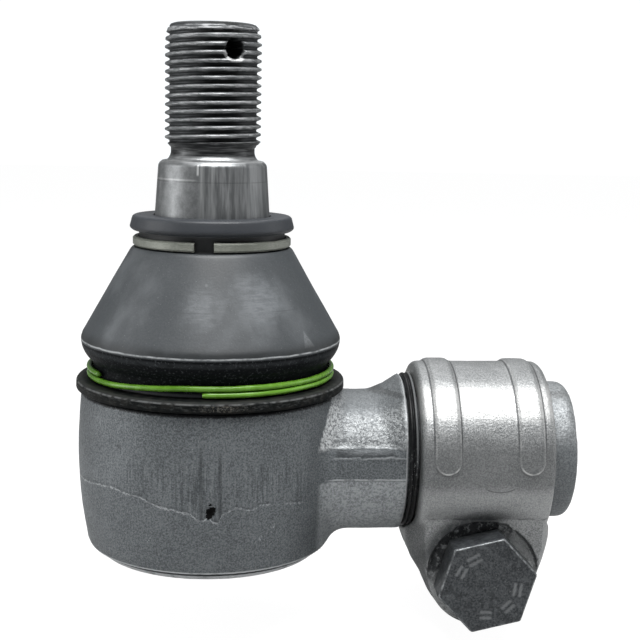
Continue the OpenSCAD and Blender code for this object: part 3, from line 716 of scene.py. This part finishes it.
def mark_stud(look, ground, smooth_side, ring, wear_and_highlight):
    """Rubbed lines of the taper; painted shade on both its sides, upright bands of painted reflection and
    a glint; a painted highlight on the top crest, and painted shade in the thread relief.
    """
    broken = look.noise(6, 1).ramp(0.4, 0.5)
    look.paint((0.08, 0.085, 0.09), 0.4, look.z.line(69.4, 0.05, 0.2), broken)
    # painted shade towards the taper's right
    look.paint((0.11, 0.116, 0.12), 0.18, look.aim.ramp(-99, -90), ground)
    look.paint((0.11, 0.116, 0.12), 0.3, look.aim.ramp(-76, -62), ground)
    # a light upright band of painted reflection
    look.paint((0.5, 0.51, 0.51), 0.3, look.aim.line(-99.5, 1.5, 3), ground)
    # a painted highlight on the top crest
    look.paint((0.6, 0.61, 0.62), 0.35, look.z.line(106.4, 0.4, 0.9), wear_and_highlight.ramp(0.2, 0.6))
    # painted shade in the thread relief, broken by the turned rings
    relief = look.z.between(75, 75.8, 78.8, 79.4)
    look.paint((0.018, 0.019, 0.02), 0.97, relief, ring.ramp(0.35, 0.6, 0.6))
    # painted shade on the taper's left side
    look.paint((0.12, 0.125, 0.128), 0.25, smooth_side, ground)
    # dark upright bands of painted reflection
    for angle, half, share in ((-92.5, 3.5, 0.2), (-82, 3, 0.22)):
        look.paint((0.06, 0.064, 0.067), share, look.aim.line(angle, half / 2, half), ground)
    # a light upright band of painted reflection
    look.paint((0.6, 0.61, 0.61), 0.18, look.aim.line(-89, 1, 2.5), ground)
    glint = look.aim.line(-104.5, 0.6, 1.6) * look.z.line(72.3, 0.8, 1.6)
    look.paint((0.85, 0.86, 0.86), 0.8, glint)
    look.paint((0.7, 0.71, 0.71), 0.28, look.z.line(69.9, 0.1, 0.3), look.aim.ramp(-103, -110))


def mark_pin_hole(look):
    """A burr at the hole's lower edge with a painted highlight on it, and painted shade inside the hole.
    """
    rim = look.distance((5.66, -10.64, PIN_HOLE_Z)).line(3.1, 0.2, 0.5)
    below = look.z.ramp(PIN_HOLE_Z - 0.6, PIN_HOLE_Z - 1.6)
    look.paint((0.7, 0.71, 0.71), 0.6, rim, below, look.radial.ramp(10.5, 11))
    inside = abs(look.z - PIN_HOLE_Z).ramp(3.2, 2.6)
    look.paint((0.012, 0.013, 0.014), 0.9, inside, look.radial.ramp(11, 10.2))


def stud_look():
    look = Look("turned_stud", (0.3, 0.31, 0.32), 0.4, 0.75)
    look.locate()
    look.radial = look.length(look.x, look.y)
    look.aim = look.angle(look.y, look.x)
    streak = look.noise(1.1, 3, 0.65, stretch=(1, 1, 0.05))
    ring = look.noise(0.35, 2, 0.7, stretch=(0.05, 0.05, 1))
    ground = look.z.between(TAPER_Z - 1.8, TAPER_Z - 0.8, TAPER_TOP_Z - 0.8, TAPER_TOP_Z - 0.2)
    threaded = look.z.ramp(RELIEF_TOP_Z - 0.5, RELIEF_TOP_Z + 0.3)
    smooth_side = look.aim.ramp(-100, -106)
    wear_and_highlight = look.noise(1.4, 3, 0.6, stretch=(0.4, 0.4, 3)).ramp(0.4, 0.65)
    nicked = look.noise(0.9, 3, 0.75, stretch=(0.7, 0.7, 1.4)).ramp(0.56, 0.64)
    wear_and_highlight = wear_and_highlight * (1 - nicked)
    plain = look.mix(ring.ramp(0.3, 0.7), (0.2, 0.206, 0.21), (0.42, 0.43, 0.435))
    look.color = plain
    look.paint(taper_tone(look, streak, smooth_side), 1, ground)
    look.paint(thread_tone(look, wear_and_highlight), 1, threaded)
    look.paint(plain, 1, look.z.ramp(STUD_TOP_Z - 0.1, STUD_TOP_Z - 0.02))
    mark_stud(look, ground, smooth_side, ring, wear_and_highlight)
    mark_pin_hole(look)
    rough = streak.ramp(0.3, 0.7, 0.36, 0.5) + threaded * 0.12
    height = streak * ground * 0.5 + look.noise(0.4) * 0.3
    look.base(Base_Color=look.color, Roughness=rough, Normal=look.bump(height, 0.04))
    return look.material


# Rubber of the boot
def dust_cone(look, fine, cloud):
    """Brushed dust on the front of the cone, and clouds of it all round."""
    cone = look.z.between(29.6, 31, COLLAR_Z - 0.2, COLLAR_Z + 0.2)
    patch = look.larger(look.near((11.5, -23, 42), 12), look.near((-2, -26, 40), 10) * 0.8)
    streaky = look.noise(3.5, 3, 0.6, stretch=(1, 1, 0.35))
    dusty = (patch * 0.55 + streaky * 0.5).ramp(0.3, 0.85)
    brushed = look.noise(0.7, 3, 0.7, stretch=(0.25, 0.25, 1)).ramp(0.35, 0.65, 0.55, 1)
    look.paint((0.23, 0.245, 0.26), 0.5, dusty, cone, brushed)
    look.paint((0.02, 0.023, 0.025), 0.6, look.near((0.5, -21, 51), 8))
    look.paint((0.2, 0.213, 0.225), 0.25, cloud.ramp(0.5, 0.75), cone)
    specks = look.noise(0.45, 2, 0.8).ramp(0.66, 0.74)
    look.paint((0.2, 0.21, 0.22), 0.5, specks, look.z.ramp(20, 21))
    # a bright spot high on the front and a faint triangle at the right
    look.paint((0.3, 0.31, 0.32), 0.4, look.near((-1, -24.4, 46), 0.7))
    aside = look.math("ARCTAN2", look.y, look.x) * 31 + math.radians(43) * 31
    inside = (34.8 - look.z) * 0.48 - abs(aside)
    triangle = inside.ramp(-0.1, 0.3) * look.z.ramp(30.6, 31)
    look.paint((0.24, 0.25, 0.26), 0.3, triangle, fine.ramp(0.3, 0.6, 0.4))


def dark_underside(look, below_fold):
    """Near black below the fold, with light specks and a band of painted sheen; painted shade over the
    fold, whose lower edge is rubbed to a thin broken light line; a faint mould line higher up.
    """
    specks = look.noise(0.6, 2, 0.8).ramp(0.56, 0.68, 0, 0.6)
    look.paint(look.mix(specks, (0.004, 0.005, 0.006), (0.07, 0.075, 0.08)), 1, below_fold)
    uneven = look.noise(4, 3, 0.6, stretch=(1, 1, 3)).ramp(0.3, 0.6, 0.3, 1)
    # a band of painted sheen just below the ridge
    look.paint((0.06, 0.066, 0.07), 0.35, look.z.line(27.9, 0.3, 0.9), uneven)
    # painted shade over the fold above the ridge
    fold = look.z.between(29.5, 29.8, 30.1, 33)
    look.paint((0.01, 0.012, 0.013), 0.9, fold, look.noise(6).ramp(0.3, 0.6, 0.65))
    waver = look.noise(5) * 0.5 - 0.25
    rubbed = (look.z + waver).line(29.65, 0.08, 0.3)
    look.paint((0.46, 0.48, 0.49), 0.75, rubbed, look.noise(3, 3, 0.7).ramp(0.3, 0.6, 0.3))
    mould = look.z.line(39.6, 0.03, 0.16)
    look.paint((0.03, 0.034, 0.038), 0.4, mould, look.noise(9, 1).ramp(0.45, 0.55))


def scuff_lip(look, lip):
    """The black lower lip with its scuffed face and rubbed edge."""
    tone = look.mix(look.noise(2.5).ramp(0.4, 0.6), (0.005, 0.006, 0.006), (0.013, 0.013, 0.012))
    look.paint(tone, 1, lip)
    outer = look.length(look.x, look.y).ramp(32, 33.2)
    look.paint((0.07, 0.073, 0.07), 0.22, look.z.ramp(19.1, 19.4), outer, lip)
    face = look.z.between(17.4, 17.7, 18.8, 19.2)
    scuffed = look.noise(1.1, 3, 0.75, stretch=(0.6, 0.6, 2)).ramp(0.48, 0.66)
    look.paint((0.06, 0.063, 0.062), 0.5, face, scuffed)
    middle = look.near((3.5, -34.2, 18.6), 9)
    look.paint((0.16, 0.15, 0.13), 0.6, face, middle, look.noise(0.6, 2, 0.8).ramp(0.5, 0.62))
    rubbed = look.z.line(19.15, 0.08, 0.28)
    look.paint((0.16, 0.165, 0.165), 0.5, rubbed, look.noise(1.5).ramp(0.3, 0.6))


def boot_look():
    look = Look("dusty_rubber", (0.06, 0.065, 0.07), 0.5, coords_from="at_rest")
    look.locate()
    fine = look.noise(0.5, 2, 0.6)
    cloud = look.noise(12, 3, 0.55, stretch=(1, 1, 0.6))
    tone = fine.ramp(0.35, 0.65) * 0.3
    look.color = look.mix(tone, (0.036, 0.041, 0.045), (0.062, 0.069, 0.075))
    below_fold = look.z.between(LIP_TOP_Z + 0.2, LIP_TOP_Z + 0.8, FOLD_Z - 0.5, FOLD_Z)
    lip = look.z.fade(LIP_TOP_Z - 0.3, LIP_TOP_Z)
    dust_cone(look, fine, cloud)
    dark_underside(look, below_fold)
    scuff_lip(look, lip)
    # painted shade in the groove of the khaki ring, and the collar above it painted darker
    look.paint((0.006, 0.007, 0.008), 1, look.z.between(52.6, 52.9, COLLAR_Z - 0.8, COLLAR_Z - 0.5))
    look.paint((0.02, 0.023, 0.029), 0.8, look.z.ramp(COLLAR_Z - 0.3, COLLAR_Z))
    height = fine * 0.6 + look.noise(1.5) * 0.4
    gloss = look.larger(below_fold, lip) * -0.44 + 0.5
    look.base(Base_Color=look.color, Roughness=cloud.ramp(0.3, 0.7, 0.46, 0.6))
    look.base(Normal=look.bump(height, 0.04), Specular_IOR_Level=gloss)
    return look.material


def seal_look():
    """Black rubber of the shank's ring, dusty, with a painted highlight along its ridge."""
    look = Look("black_rubber", (0.006, 0.006, 0.007), 0.4)
    look.locate()
    fine = look.noise(0.7, 3, 0.6)
    look.color = look.mix(fine.ramp(0.38, 0.62), (0.003, 0.003, 0.004), (0.008, 0.009, 0.009))
    # a painted highlight along the ridge, on its upper part only
    ridge = look.x.line(51.5, 0.15, 0.4)
    look.paint((0.22, 0.23, 0.235), 0.5, ridge, look.z.ramp(-4, 6))
    specks = look.noise(0.6, 2, 0.8).ramp(0.6, 0.68)
    look.paint((0.3, 0.31, 0.31), 0.5, specks, look.z.line(-2, 3, 9))
    look.base(Base_Color=look.color, Roughness=fine.ramp(0.3, 0.7, 0.36, 0.48))
    look.base(Normal=look.bump(fine, 0.03), Specular_IOR_Level=0.2)
    return look.material


def bolt_look():
    look = blasted("black_steel", (0.022, 0.025, 0.028), (0.075, 0.081, 0.086), 0.45, 0.4, 0.55, 0.07)
    across, down = look.x - BOLT_X, look.z + BOLT_DROP
    around = look.math("ARCTAN2", down, across) - math.radians(HEAD_TURN)
    fold = around % math.radians(60) - math.radians(30)
    to_flat = look.length(across, down) * look.math("COSINE", fold)
    # a painted highlight along the edges of the head's face, broken by noise
    edge = to_flat.line(HEX_W / 2 - 0.2, 0.1, 0.26) * look.y.ramp(-24.9, -25.4)
    look.paint(BARE_STEEL_AND_HIGHLIGHT, 0.5, edge, look.noise(1.6, 3, 0.7).ramp(0.4, 0.62, 0.15))
    look.paint((0.12, 0.128, 0.133), 0.4, look.noise(1.7, 3, 0.7).ramp(0.48, 0.68))
    look.paint((0.016, 0.018, 0.02), 0.5, look.noise(2.3, 2, 0.6).ramp(0.46, 0.34))
    look.paint((0.25, 0.26, 0.265), 0.45, look.noise(0.6, 2, 0.8).ramp(0.64, 0.72))
    look.paint((0.26, 0.27, 0.275), 0.5, look.add("Attribute", {}, "Fac", attribute_name="mark"))
    return close(look)


# Ball stud
def thread_wave(along, turn, pitch):
    """Height of a right-hand thread, 0 at the root and 1 at the crest."""
    t = (along / pitch - turn / TAU) % 1
    return smooth_step(np.abs(t - 0.5) * 2, 0.84, 0.16)


def stud_outline():
    """Radii and heights of the ball, the neck, the taper and the relief."""
    flat = -(BALL_R - 1.5)
    joint = math.atan2(math.sqrt(BALL_R ** 2 - NECK_R ** 2), NECK_R)
    start = math.atan2(flat, math.sqrt(BALL_R ** 2 - flat ** 2))
    outline = [(BALL_R * math.cos(a), BALL_R * math.sin(a)) for a in np.linspace(start, joint, 40)]
    for i in range(9):
        share = (1 - math.cos(math.pi * i / 8)) / 2
        outline.append((NECK_R + (TAPER_R - NECK_R) * share, 33.8 + 12 * i / 8))
    shoulder = [
        (TAPER_R, TAPER_Z, 0.2), (TAPER_TOP_R, TAPER_TOP_Z - 1.0, 0.5),
        (TAPER_TOP_R - 0.95, TAPER_TOP_Z, 0.4), (11.3, TAPER_TOP_Z + 0.1, 0.8),
        (RELIEF_R, TAPER_TOP_Z + 1.5, 0.8), (RELIEF_R, RELIEF_TOP_Z - 0.8, 0.4)
    ]
    outline += [tuple(p) for p in rounded(shoulder, 0.5, closed=False)]
    return flat, resampled(np.array(outline), 1.2, closed=False)


def stud_thread(cols):
    """Radii and heights of the rolled thread, with its run-out and chamfer."""
    envelope = [
        (RELIEF_TOP_Z - 0.8, RELIEF_R), (RELIEF_TOP_Z + 0.9, STUD_CREST), (STUD_TOP_Z - 5.5, 12.05),
        (STUD_TOP_Z - 2.4, 11.7), (STUD_TOP_Z - 1.0, 11.2), (STUD_TOP_Z - 0.3, 10.5), (STUD_TOP_Z, 9.6)
    ]
    z = np.append(np.arange(RELIEF_TOP_Z - 0.7, STUD_TOP_Z - 0.02, STUD_PITCH / 14), STUD_TOP_Z)
    turn = np.arange(cols) * TAU / cols
    limit = np.interp(z, *zip(*envelope))[:, None]
    wave = thread_wave(z[:, None], turn[None, :], STUD_PITCH)
    points = np.broadcast_arrays(np.cos(turn) * STUD_CREST, np.sin(turn) * STUD_CREST, z[:, None])
    ragged = noise_at(np.stack(points, -1).reshape(-1, 3), 1.6, 3, 2.0).reshape(wave.shape)
    crest = STUD_ROOT + (STUD_CREST - STUD_ROOT) * wave + (0.05 * np.minimum(ragged, 0.3) - 0.01) * wave
    return np.minimum(crest, limit), z


def make_stud():
    cols = 216
    flat, outline = stud_outline()
    thread, z = stud_thread(cols)
    end_radii = [8.9, 5, 2]
    radii = np.vstack([
        np.full((1, cols), 4), np.repeat(outline[:, 0][:, None], cols, 1), thread,
        np.repeat(np.array(end_radii)[:, None], cols, 1)
    ])
    heights = np.concatenate([[flat], outline[:, 1], z, [STUD_TOP_Z] * len(end_radii)])
    made = turned("ball_stud_threaded", radii, heights, cols)
    bit = [(3.4, -16), (3.4, -12.1), (PIN_HOLE_R, -11.2), (PIN_HOLE_R, 11.2), (3.4, 12.1), (3.4, 16)]
    tool = turned("pin_drill", [r for r, _ in bit], [x for _, x in bit], 48, axis="x")
    tool.rotation_euler = (0, 0, math.radians(PIN_HOLE_TURN - 90))
    tool.location = (0, 0, PIN_HOLE_Z * MM)
    cut(made, tool)
    # the turned end face is shaded flat
    facing = rows_of(made.data.polygons, "normal", 3)
    made.data.polygons.foreach_set("use_smooth", facing[:, 2] < 0.999)
    stand_in(made, "stud", "stud_steel", stud_look(), "ball_stud")


# Housing
def pot_radius(z):
    """Radius of the pot's drafted and bulged wall."""
    high = POT_R - (POT_R - POT_TOP_R) * (z / SHOULDER_Z) ** 2
    low = POT_R - (POT_R - POT_LOW_R) * (z / POT_LOW_Z) ** 2
    return np.where(z > 0, high, low)


def soften_housing(mesh):
    """Rounds the fillet of the neck and the flash band's edge, and eases all but the rolled rim."""
    x, y, z = coords(mesh).T
    radial = np.hypot(x, y)
    rim = (z < RIM_TOP_Z) * (radial > 20)
    fillet = smooth_step(np.abs(np.hypot(y, z + ARM_DROP) - ARM_R), 6.0, 2.5)
    fillet = fillet * (x > 18) * (x < 36) * (z < SHOULDER_Z - 1.5) * (radial > 29)
    band_top = smooth_step(np.abs(z - 3.2), 1.6, 0.6) * (x > 31) * (x < FLANGE_X - 1.5) * (np.abs(y) > 10)
    relax(mesh, fillet, 14)
    relax(mesh, band_top, 16)
    relax(mesh, 0.7 * (1.0 - rim), 2)


def forge_housing(mesh):
    """Uneven forged walls, the torn flash band, the turned corner over the rim, and the pit."""
    co = coords(mesh)
    x, y, z = co.T
    radial = np.hypot(x, y)
    forged_pot = (radial > pot_radius(z) - 1.5) * (z < SHOULDER_Z - 0.8) * (z > -22.5)
    forged_neck = (x > 30) * (x < FLANGE_X - 0.8) * (np.hypot(y, z) > 14)
    forged = np.clip(forged_pot + forged_neck, 0, 1).astype(float)
    lift = noise_at(co, 12, 2, 1.0) * 0.13 + noise_at(co, 2.4, 2, 4.0) * 0.035
    neck_top = smooth_step(z, 3.6, 5.5) * smooth_step(x, 28, 32)
    lift = lift + neck_top * noise_at(co, 1.5, 2, 6.0) * 0.09
    tear = z + 0.9 * noise_at(co * (1, 0, 0), 4, 3, 3.0)
    band = smooth_step(np.abs(tear - 4.9), 1.0, 0.3)
    lift = lift - 0.05 * band * forged_neck * (np.abs(y) > 12)
    on_wall = 1.0 - smooth_step(z, RIM_TOP_Z + 0.5, RIM_TOP_Z - 0.2)
    corner = smooth_step(np.abs(z - RIM_TOP_Z + 0.9), 0.7, 0.3)
    lift = lift * on_wall - 0.3 * corner * (radial > RIM_IN_R)
    forged = np.maximum(forged, (z < RIM_TOP_Z) * (radial > RIM_IN_R))
    from_pit = np.linalg.norm((co - PIT) * (1, 1, 0.75), axis=1)
    lift = lift - 0.8 * smooth_step(from_pit, 1.5, 0.6)
    co += normals(mesh) * (lift * forged)[:, None]
    co[:, 0] = np.minimum(co[:, 0], SHANK_L)
    put_coords(mesh, co)


def tap_housing(made):
    """Cuts the internal thread with a threaded plug."""
    cols = 108
    at = np.arange(ROD_LOW_X + 0.4, SHANK_L - 0.9, ROD_PITCH / 7)
    turn = np.arange(cols) * TAU / cols
    wave = thread_wave(at[:, None], -turn[None, :], ROD_PITCH)
    radii = ROD_CORE_R + 0.06 + (ROD_ROOT_R - ROD_CORE_R) * wave
    mouth = np.repeat([[13.2], [14.2], [15.2]], cols, 1)
    at = np.concatenate([at, [SHANK_L - 0.9, SHANK_L + 0.05, SHANK_L + 1]])
    cut(made, turned("rod_tap", np.vstack([radii, mouth]), at, cols, axis="x"))


def make_housing():
    made = even_copy("housing", "housing_forged", 0.74)
    soften_housing(made.data)
    forge_housing(made.data)
    tap_housing(made)
    stand_in(made, "housing", "housing_steel", housing_look(), "housing")


# Clamp with its bolt and nut
def from_bolt(co):
    """Distance from the bolt's axis."""
    return np.hypot(co[:, 0] - BOLT_X, co[:, 2] + BOLT_DROP)


def soften_clamp(mesh):
    """Rounds the ears' roots, but not the bolt's seats, and eases the whole clamp a little."""
    co = coords(mesh)
    x, y, z = co.T
    root = smooth_step(np.abs(np.hypot(y, z) - CLAMP_R), 3.5, 1.0) * (z < -15.5) * (np.abs(y) > 6)
    relax(mesh, root * (from_bolt(co) > 15.2), 18)
    relax(mesh, np.full(len(co), 0.6), 1)


def forge_clamp(mesh):
    """Uneven forged faces, ears that narrow towards their ends, and lumps above the bolt head."""
    co = coords(mesh)
    x, y, z = co.T
    outside = np.hypot(y, z) > CLAMP_BORE_R
    forged = outside * (np.abs(y) > 2) * smooth_step(from_bolt(co), 13.8, 15)
    forged = np.maximum(forged, (z > -12) * outside)
    lift = noise_at(co, 10, 2, 11.0) * 0.11 + noise_at(co, 2.2, 2, 14.0) * 0.03
    reach = np.maximum(from_bolt(co), 1)
    narrowed = smooth_step(z, -25, -33) * smooth_step(reach, 13.2, 14.2)
    tight = 1 - narrowed * np.maximum(reach - 13.2, 0) * 0.6 / reach
    co[:, 0] = BOLT_X + (x - BOLT_X) * tight
    co[:, 2] = -BOLT_DROP + (z + BOLT_DROP) * tight
    lumpy = smooth_step(z, -20.5, -18.5) * (z < -14.6) * (y < -16.5) * (np.abs(x - BOLT_X) < 8)
    lift = lift * forged + 0.45 * lumpy * noise_at(co, 1.6, 2, 17.0)
    put_coords(mesh, co + normals(mesh) * lift[:, None])


def make_clamp():
    made = even_copy("clamp", "clamp_forged", 0.5)
    soften_clamp(made.data)
    forge_clamp(made.data)
    stand_in(made, "housing", "clamp_steel", clamp_look(), "clamp")


def bolt_rows(turn, hexagon):
    """Places along y, each with its radii: the end, the thread, the shank, the head and its face."""
    even = np.ones(len(turn))
    rows = [(BOLT_END_Y, 0.05 * even), (BOLT_END_Y, 5.2 * even), (BOLT_END_Y - 0.1, 5.5 * even)]
    at = np.arange(BOLT_END_Y - 1.2, 2.0, -BOLT_PITCH / 12)
    limit = np.minimum(BOLT_R, 5.8 + (BOLT_END_Y - at))[:, None]
    wave = thread_wave(at[:, None], turn[None, :], BOLT_PITCH)
    rows += zip(at, np.minimum(BOLT_ROOT_R + (BOLT_R - BOLT_ROOT_R) * wave, limit))
    shank = [
        (1.6, BOLT_R), (-SEAT_Y + 0.02, BOLT_R), (-SEAT_Y + 0.01, 7.1), (-SEAT_Y, 10.1),
        (-SEAT_Y - 0.5, 10.2)
    ]
    rows += [(y, radius * even) for y, radius in shank]
    bevels = [
        (-SEAT_Y - 0.5, 0.5), (-SEAT_Y - 0.52, 0.15), (-SEAT_Y - 0.75, 0.0), (FACE_Y + 0.45, 0.0),
        (FACE_Y + 0.18, 0.08), (FACE_Y + 0.03, 0.3)
    ]
    rows += [(y, hexagon - bevel) for y, bevel in bevels]
    rows += [(FACE_Y, (hexagon - 0.55) * share) for share in np.linspace(1, 0.005, 38)]
    return rows


def bolt_marks(x, y, z):
    """1 on the generic raised double bars of the head's face, 0 elsewhere."""
    mark = np.zeros(len(x))
    for angle, length in ((118, 1.5), (152, 1.2), (-8, 1.4), (-46, 1.2), (-92, 1.1)):
        a = math.radians(angle)
        along = x * math.cos(a) + z * math.sin(a) - 7.6
        beside = z * math.cos(a) - x * math.sin(a)
        for shift in (-0.75, 0.75):
            gap = np.hypot(np.maximum(np.abs(beside) - length, 0), along + shift)
            mark += smooth_step(gap, 0.5, 0.25)
    return np.clip(mark, 0, 1) * (y < FACE_Y + 0.01)


def make_bolt():
    cols, start, sixth = 192, math.radians(90 - HEAD_TURN), math.radians(60)
    turn = np.arange(cols) * TAU / cols + start
    fold = (turn - start) % sixth - sixth / 2
    hexagon = np.minimum(HEX_W / 2 / np.cos(fold), HEX_W / 2 / math.cos(sixth / 2) - 0.12)
    at, radii = zip(*bolt_rows(turn, hexagon))
    made = turned("clamp_bolt_threaded", radii, at, cols, axis="y", phase=start)
    mesh = made.data
    co = coords(mesh)
    x, y, z = co.T
    mark = bolt_marks(x, y, z)
    noted = mesh.attributes.new("mark", "FLOAT", "POINT")
    noted.data.foreach_set("value", mark)
    dents = 0.05 * np.minimum(noise_at(co, 2.6, 2, 21.0), 0) * (y < -SEAT_Y - 1)
    # the face is sunk by as much as its marks are raised
    co[:, 1] += 0.12 * (y < FACE_Y + 0.01)
    co += normals(mesh) * (0.12 * mark + dents)[:, None]
    co += (BOLT_X, 0, -BOLT_DROP)
    put_coords(mesh, co)
    black = bolt_look()
    stand_in(made, "housing", "bolt_black", black, "clamp_bolt")
    nut = even_copy("clamp_nut", "clamp_nut_forged", 0.35)
    relax(nut.data, np.full(len(nut.data.vertices), 0.5), 1)
    stand_in(nut, "housing", "bolt_black", black, "clamp_nut")


# Boot and rings
def clipped(points, level, above):
    """The part of a closed outline above or below a height."""
    sign = 1 if above else -1
    out = []
    for i, p in enumerate(points):
        q = points[(i + 1) % len(points)]
        if sign * (p[1] - level) >= 0:
            out.append(p)
        if (p[1] - level) * (q[1] - level) < 0:
            t = (level - p[1]) / (q[1] - p[1])
            out.append(p + (q - p) * t)
    return np.array(out)


def boot_half(name, above, look):
    """The boot above or below its seam, slightly uneven as moulded rubber is."""
    loop = resampled(clipped(rounded(BOOT_OUTLINE, 0.3, 3), BOOT_SEAM_Z, above), 0.9)
    made = turned(name, loop[:, 0], loop[:, 1], 168, closed=True)
    mesh = made.data
    co = coords(mesh)
    # a crisp seam, so that the two halves shade as one surface
    at_seam = np.abs(co[:, 2] - BOOT_SEAM_Z) < 1e-3
    crisp = mesh.attributes.new("sharp_edge", "BOOLEAN", "EDGE")
    crisp.data.foreach_set("value", at_seam[edge_ends(mesh)].all(1))
    outward = co * (1, 1, 0)
    outward /= np.linalg.norm(outward, axis=1)[:, None]
    uneven = 0.12 * noise_at(co, 16, 2, 31.0) * smooth_step(np.hypot(co[:, 0], co[:, 1]), 15, 20)
    put_coords(mesh, co + outward * uneven[:, None])
    # the look keeps to the rubber when the boot bends
    rest = mesh.attributes.new("at_rest", "FLOAT_VECTOR", "POINT")
    rest.data.foreach_set("vector", (coords(mesh) * MM).ravel())
    mesh.materials.append(look)
    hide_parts("boot")
    return made


def make_boot():
    look = boot_look()
    lower = boot_half("boot_lower", False, look)
    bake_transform(lower)
    upper = boot_half("boot_upper", True, look)
    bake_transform(upper)


def make_wire():
    rings, sides = 280, 14
    turn = np.linspace(0, WIRE_TURNS, rings)
    angle = np.radians(WIRE_START) + TAU * turn
    # the first turn lies flat and climbs onto itself just before its own start
    level = WIRE_LOW_Z + 0.1 * turn + WIRE_RISE * smooth_step(turn, 0.84, 1.0)
    wobble = 0.07 * noise_at(np.stack([np.cos(angle) * 9, np.sin(angle) * 9, turn * 5], 1), 3, 2, 41.0)
    around = np.arange(sides) * TAU / sides
    size = np.full(rings, WIRE_R)
    size[[0, -1]] *= 0.7
    radius = WIRE_PATH_R + size[:, None] * np.cos(around)
    z = (level + wobble)[:, None] + size[:, None] * np.sin(around)
    loops = np.stack([radius * np.cos(angle)[:, None], radius * np.sin(angle)[:, None], z], -1)
    made = ring_mesh("boot_bottom_wire", loops, False)
    green = plain_look("green_wire", (0.085, 0.22, 0.012), (0.16, 0.37, 0.035), 0.26, 0.0, 5, 0.02)
    stand_in(made, "housing", "wire_green", green, "boot_bottom_ring")


def make_shank_ring():
    outline = [
        (17.95, 49.6), (19.6, 49.6), (20.0, 50.0), (20.0, 50.4), (19.55, 50.75), (20.05, 51.1),
        (20.05, 51.6), (19.6, 51.9), (17.95, 51.9)
    ]
    loop = resampled(rounded(outline, 0.25, 3), 0.6)
    made = turned("shank_seal", loop[:, 0], loop[:, 1], 160, closed=True, axis="x")
    rubber = seal_look()
    stand_in(made, "housing", "seal_rubber", rubber, "shank_seal_ring")
    return rubber


def dress_nodes(rubber):
    """Materials for the CAD nodes that show as they are."""
    khaki = (0.17, 0.18, 0.155), (0.27, 0.28, 0.245)
    khaki = plain_look("khaki_ring", *khaki, 0.42, 0.2, 0.8, stretch=(1, 1, 4))
    shell = plain_look("shell_plastic", (0.62, 0.6, 0.5), (0.8, 0.78, 0.7), 0.5, 0.0, 1.5)
    spring = plain_look("spring_steel", (0.08, 0.085, 0.1), (0.2, 0.21, 0.24), 0.38, 0.8, 0.8)
    cover = plain_look("pressed_steel", (0.16, 0.17, 0.175), (0.36, 0.37, 0.38), 0.42, 0.7, 0.9, 0.06)
    for name, material in (
        ("boot_top_ring", khaki), ("upper_bearing_shell", shell), ("lower_bearing_shell", shell),
        ("preload_spring", spring), ("cover_plate", cover), ("cover_seal", rubber)
    ):
        nodes[name].data.materials.clear()
        nodes[name].data.materials.append(material)


# Stage
def floor_look():
    """Pale floor that glows white to the camera, so that the object's shadow on it stays faint."""
    look = Look("pale_floor", (0.82, 0.82, 0.82), 0.9)
    seen = look.add("LightPath", {}, "Is Camera Ray")
    look.base(Base_Color=look.mix(seen, (0.42, 0.42, 0.42), (0.82, 0.82, 0.82)))
    white = look.add("Emission", {"Strength": 1.15})
    blend = look.add("MixShader", {0: seen * 0.84, 1: Value(look, look.shader.outputs[0]), 2: white})
    look.set(look.tree.nodes["Material Output"], "Surface", blend)
    return look.material


def make_floor():
    size = 3000
    corners = [(x, y, FLOOR_Z) for x, y in ((-size, -size), (size, -size), (size, size), (-size, size))]
    floor = new_object("floor", corners, [(0, 1, 2, 3)])
    floor.data.materials.append(floor_look())


def make_world():
    """A white studio that lights the object faintly."""
    world = bpy.data.worlds.new("studio")
    scene.world = world
    world.use_nodes = True
    tree = world.node_tree
    back = tree.nodes["Background"]
    back.inputs["Color"].default_value = (0.95, 0.98, 1.0, 1)
    path = tree.nodes.new("ShaderNodeLightPath")
    level = tree.nodes.new("ShaderNodeMapRange")
    level.inputs["To Min"].default_value = 0.2
    level.inputs["To Max"].default_value = 1.1
    tree.links.new(path.outputs["Is Camera Ray"], level.inputs["Value"])
    tree.links.new(level.outputs[0], back.inputs["Strength"])


def make_lamp(name, azimuth, elevation, distance, width, height, watts):
    """A soft area lamp aimed at the object, in metres. Azimuth 0 is the camera's side, 90 the shank's."""
    data = bpy.data.lights.new(name, "AREA")
    data.shape = "RECTANGLE"
    data.size, data.size_y, data.energy = width, height, watts
    made = bpy.data.objects.new(name, data)
    scene.collection.objects.link(made)
    a, e = math.radians(azimuth), math.radians(elevation)
    away = Vector((math.sin(a) * math.cos(e), -math.cos(a) * math.cos(e), math.sin(e)))
    made.location = Vector((0.03, 0, 0.02)) + away * distance
    made.rotation_mode = "QUATERNION"
    made.rotation_quaternion = (-away).to_track_quat("-Z", "Y")


make_camera()
make_stud()
make_housing()
make_clamp()
make_bolt()
make_boot()
make_wire()
dress_nodes(make_shank_ring())
make_floor()
make_world()
make_lamp("key", 14, 73, 0.7, 0.55, 0.33, 9.0)
make_lamp("left", -85, 12, 0.7, 0.4, 0.6, 2.4)
make_lamp("right", 95, 14, 0.7, 0.3, 0.6, 0.9)
make_lamp("back", 180, 50, 0.9, 0.6, 0.3, 2.0)
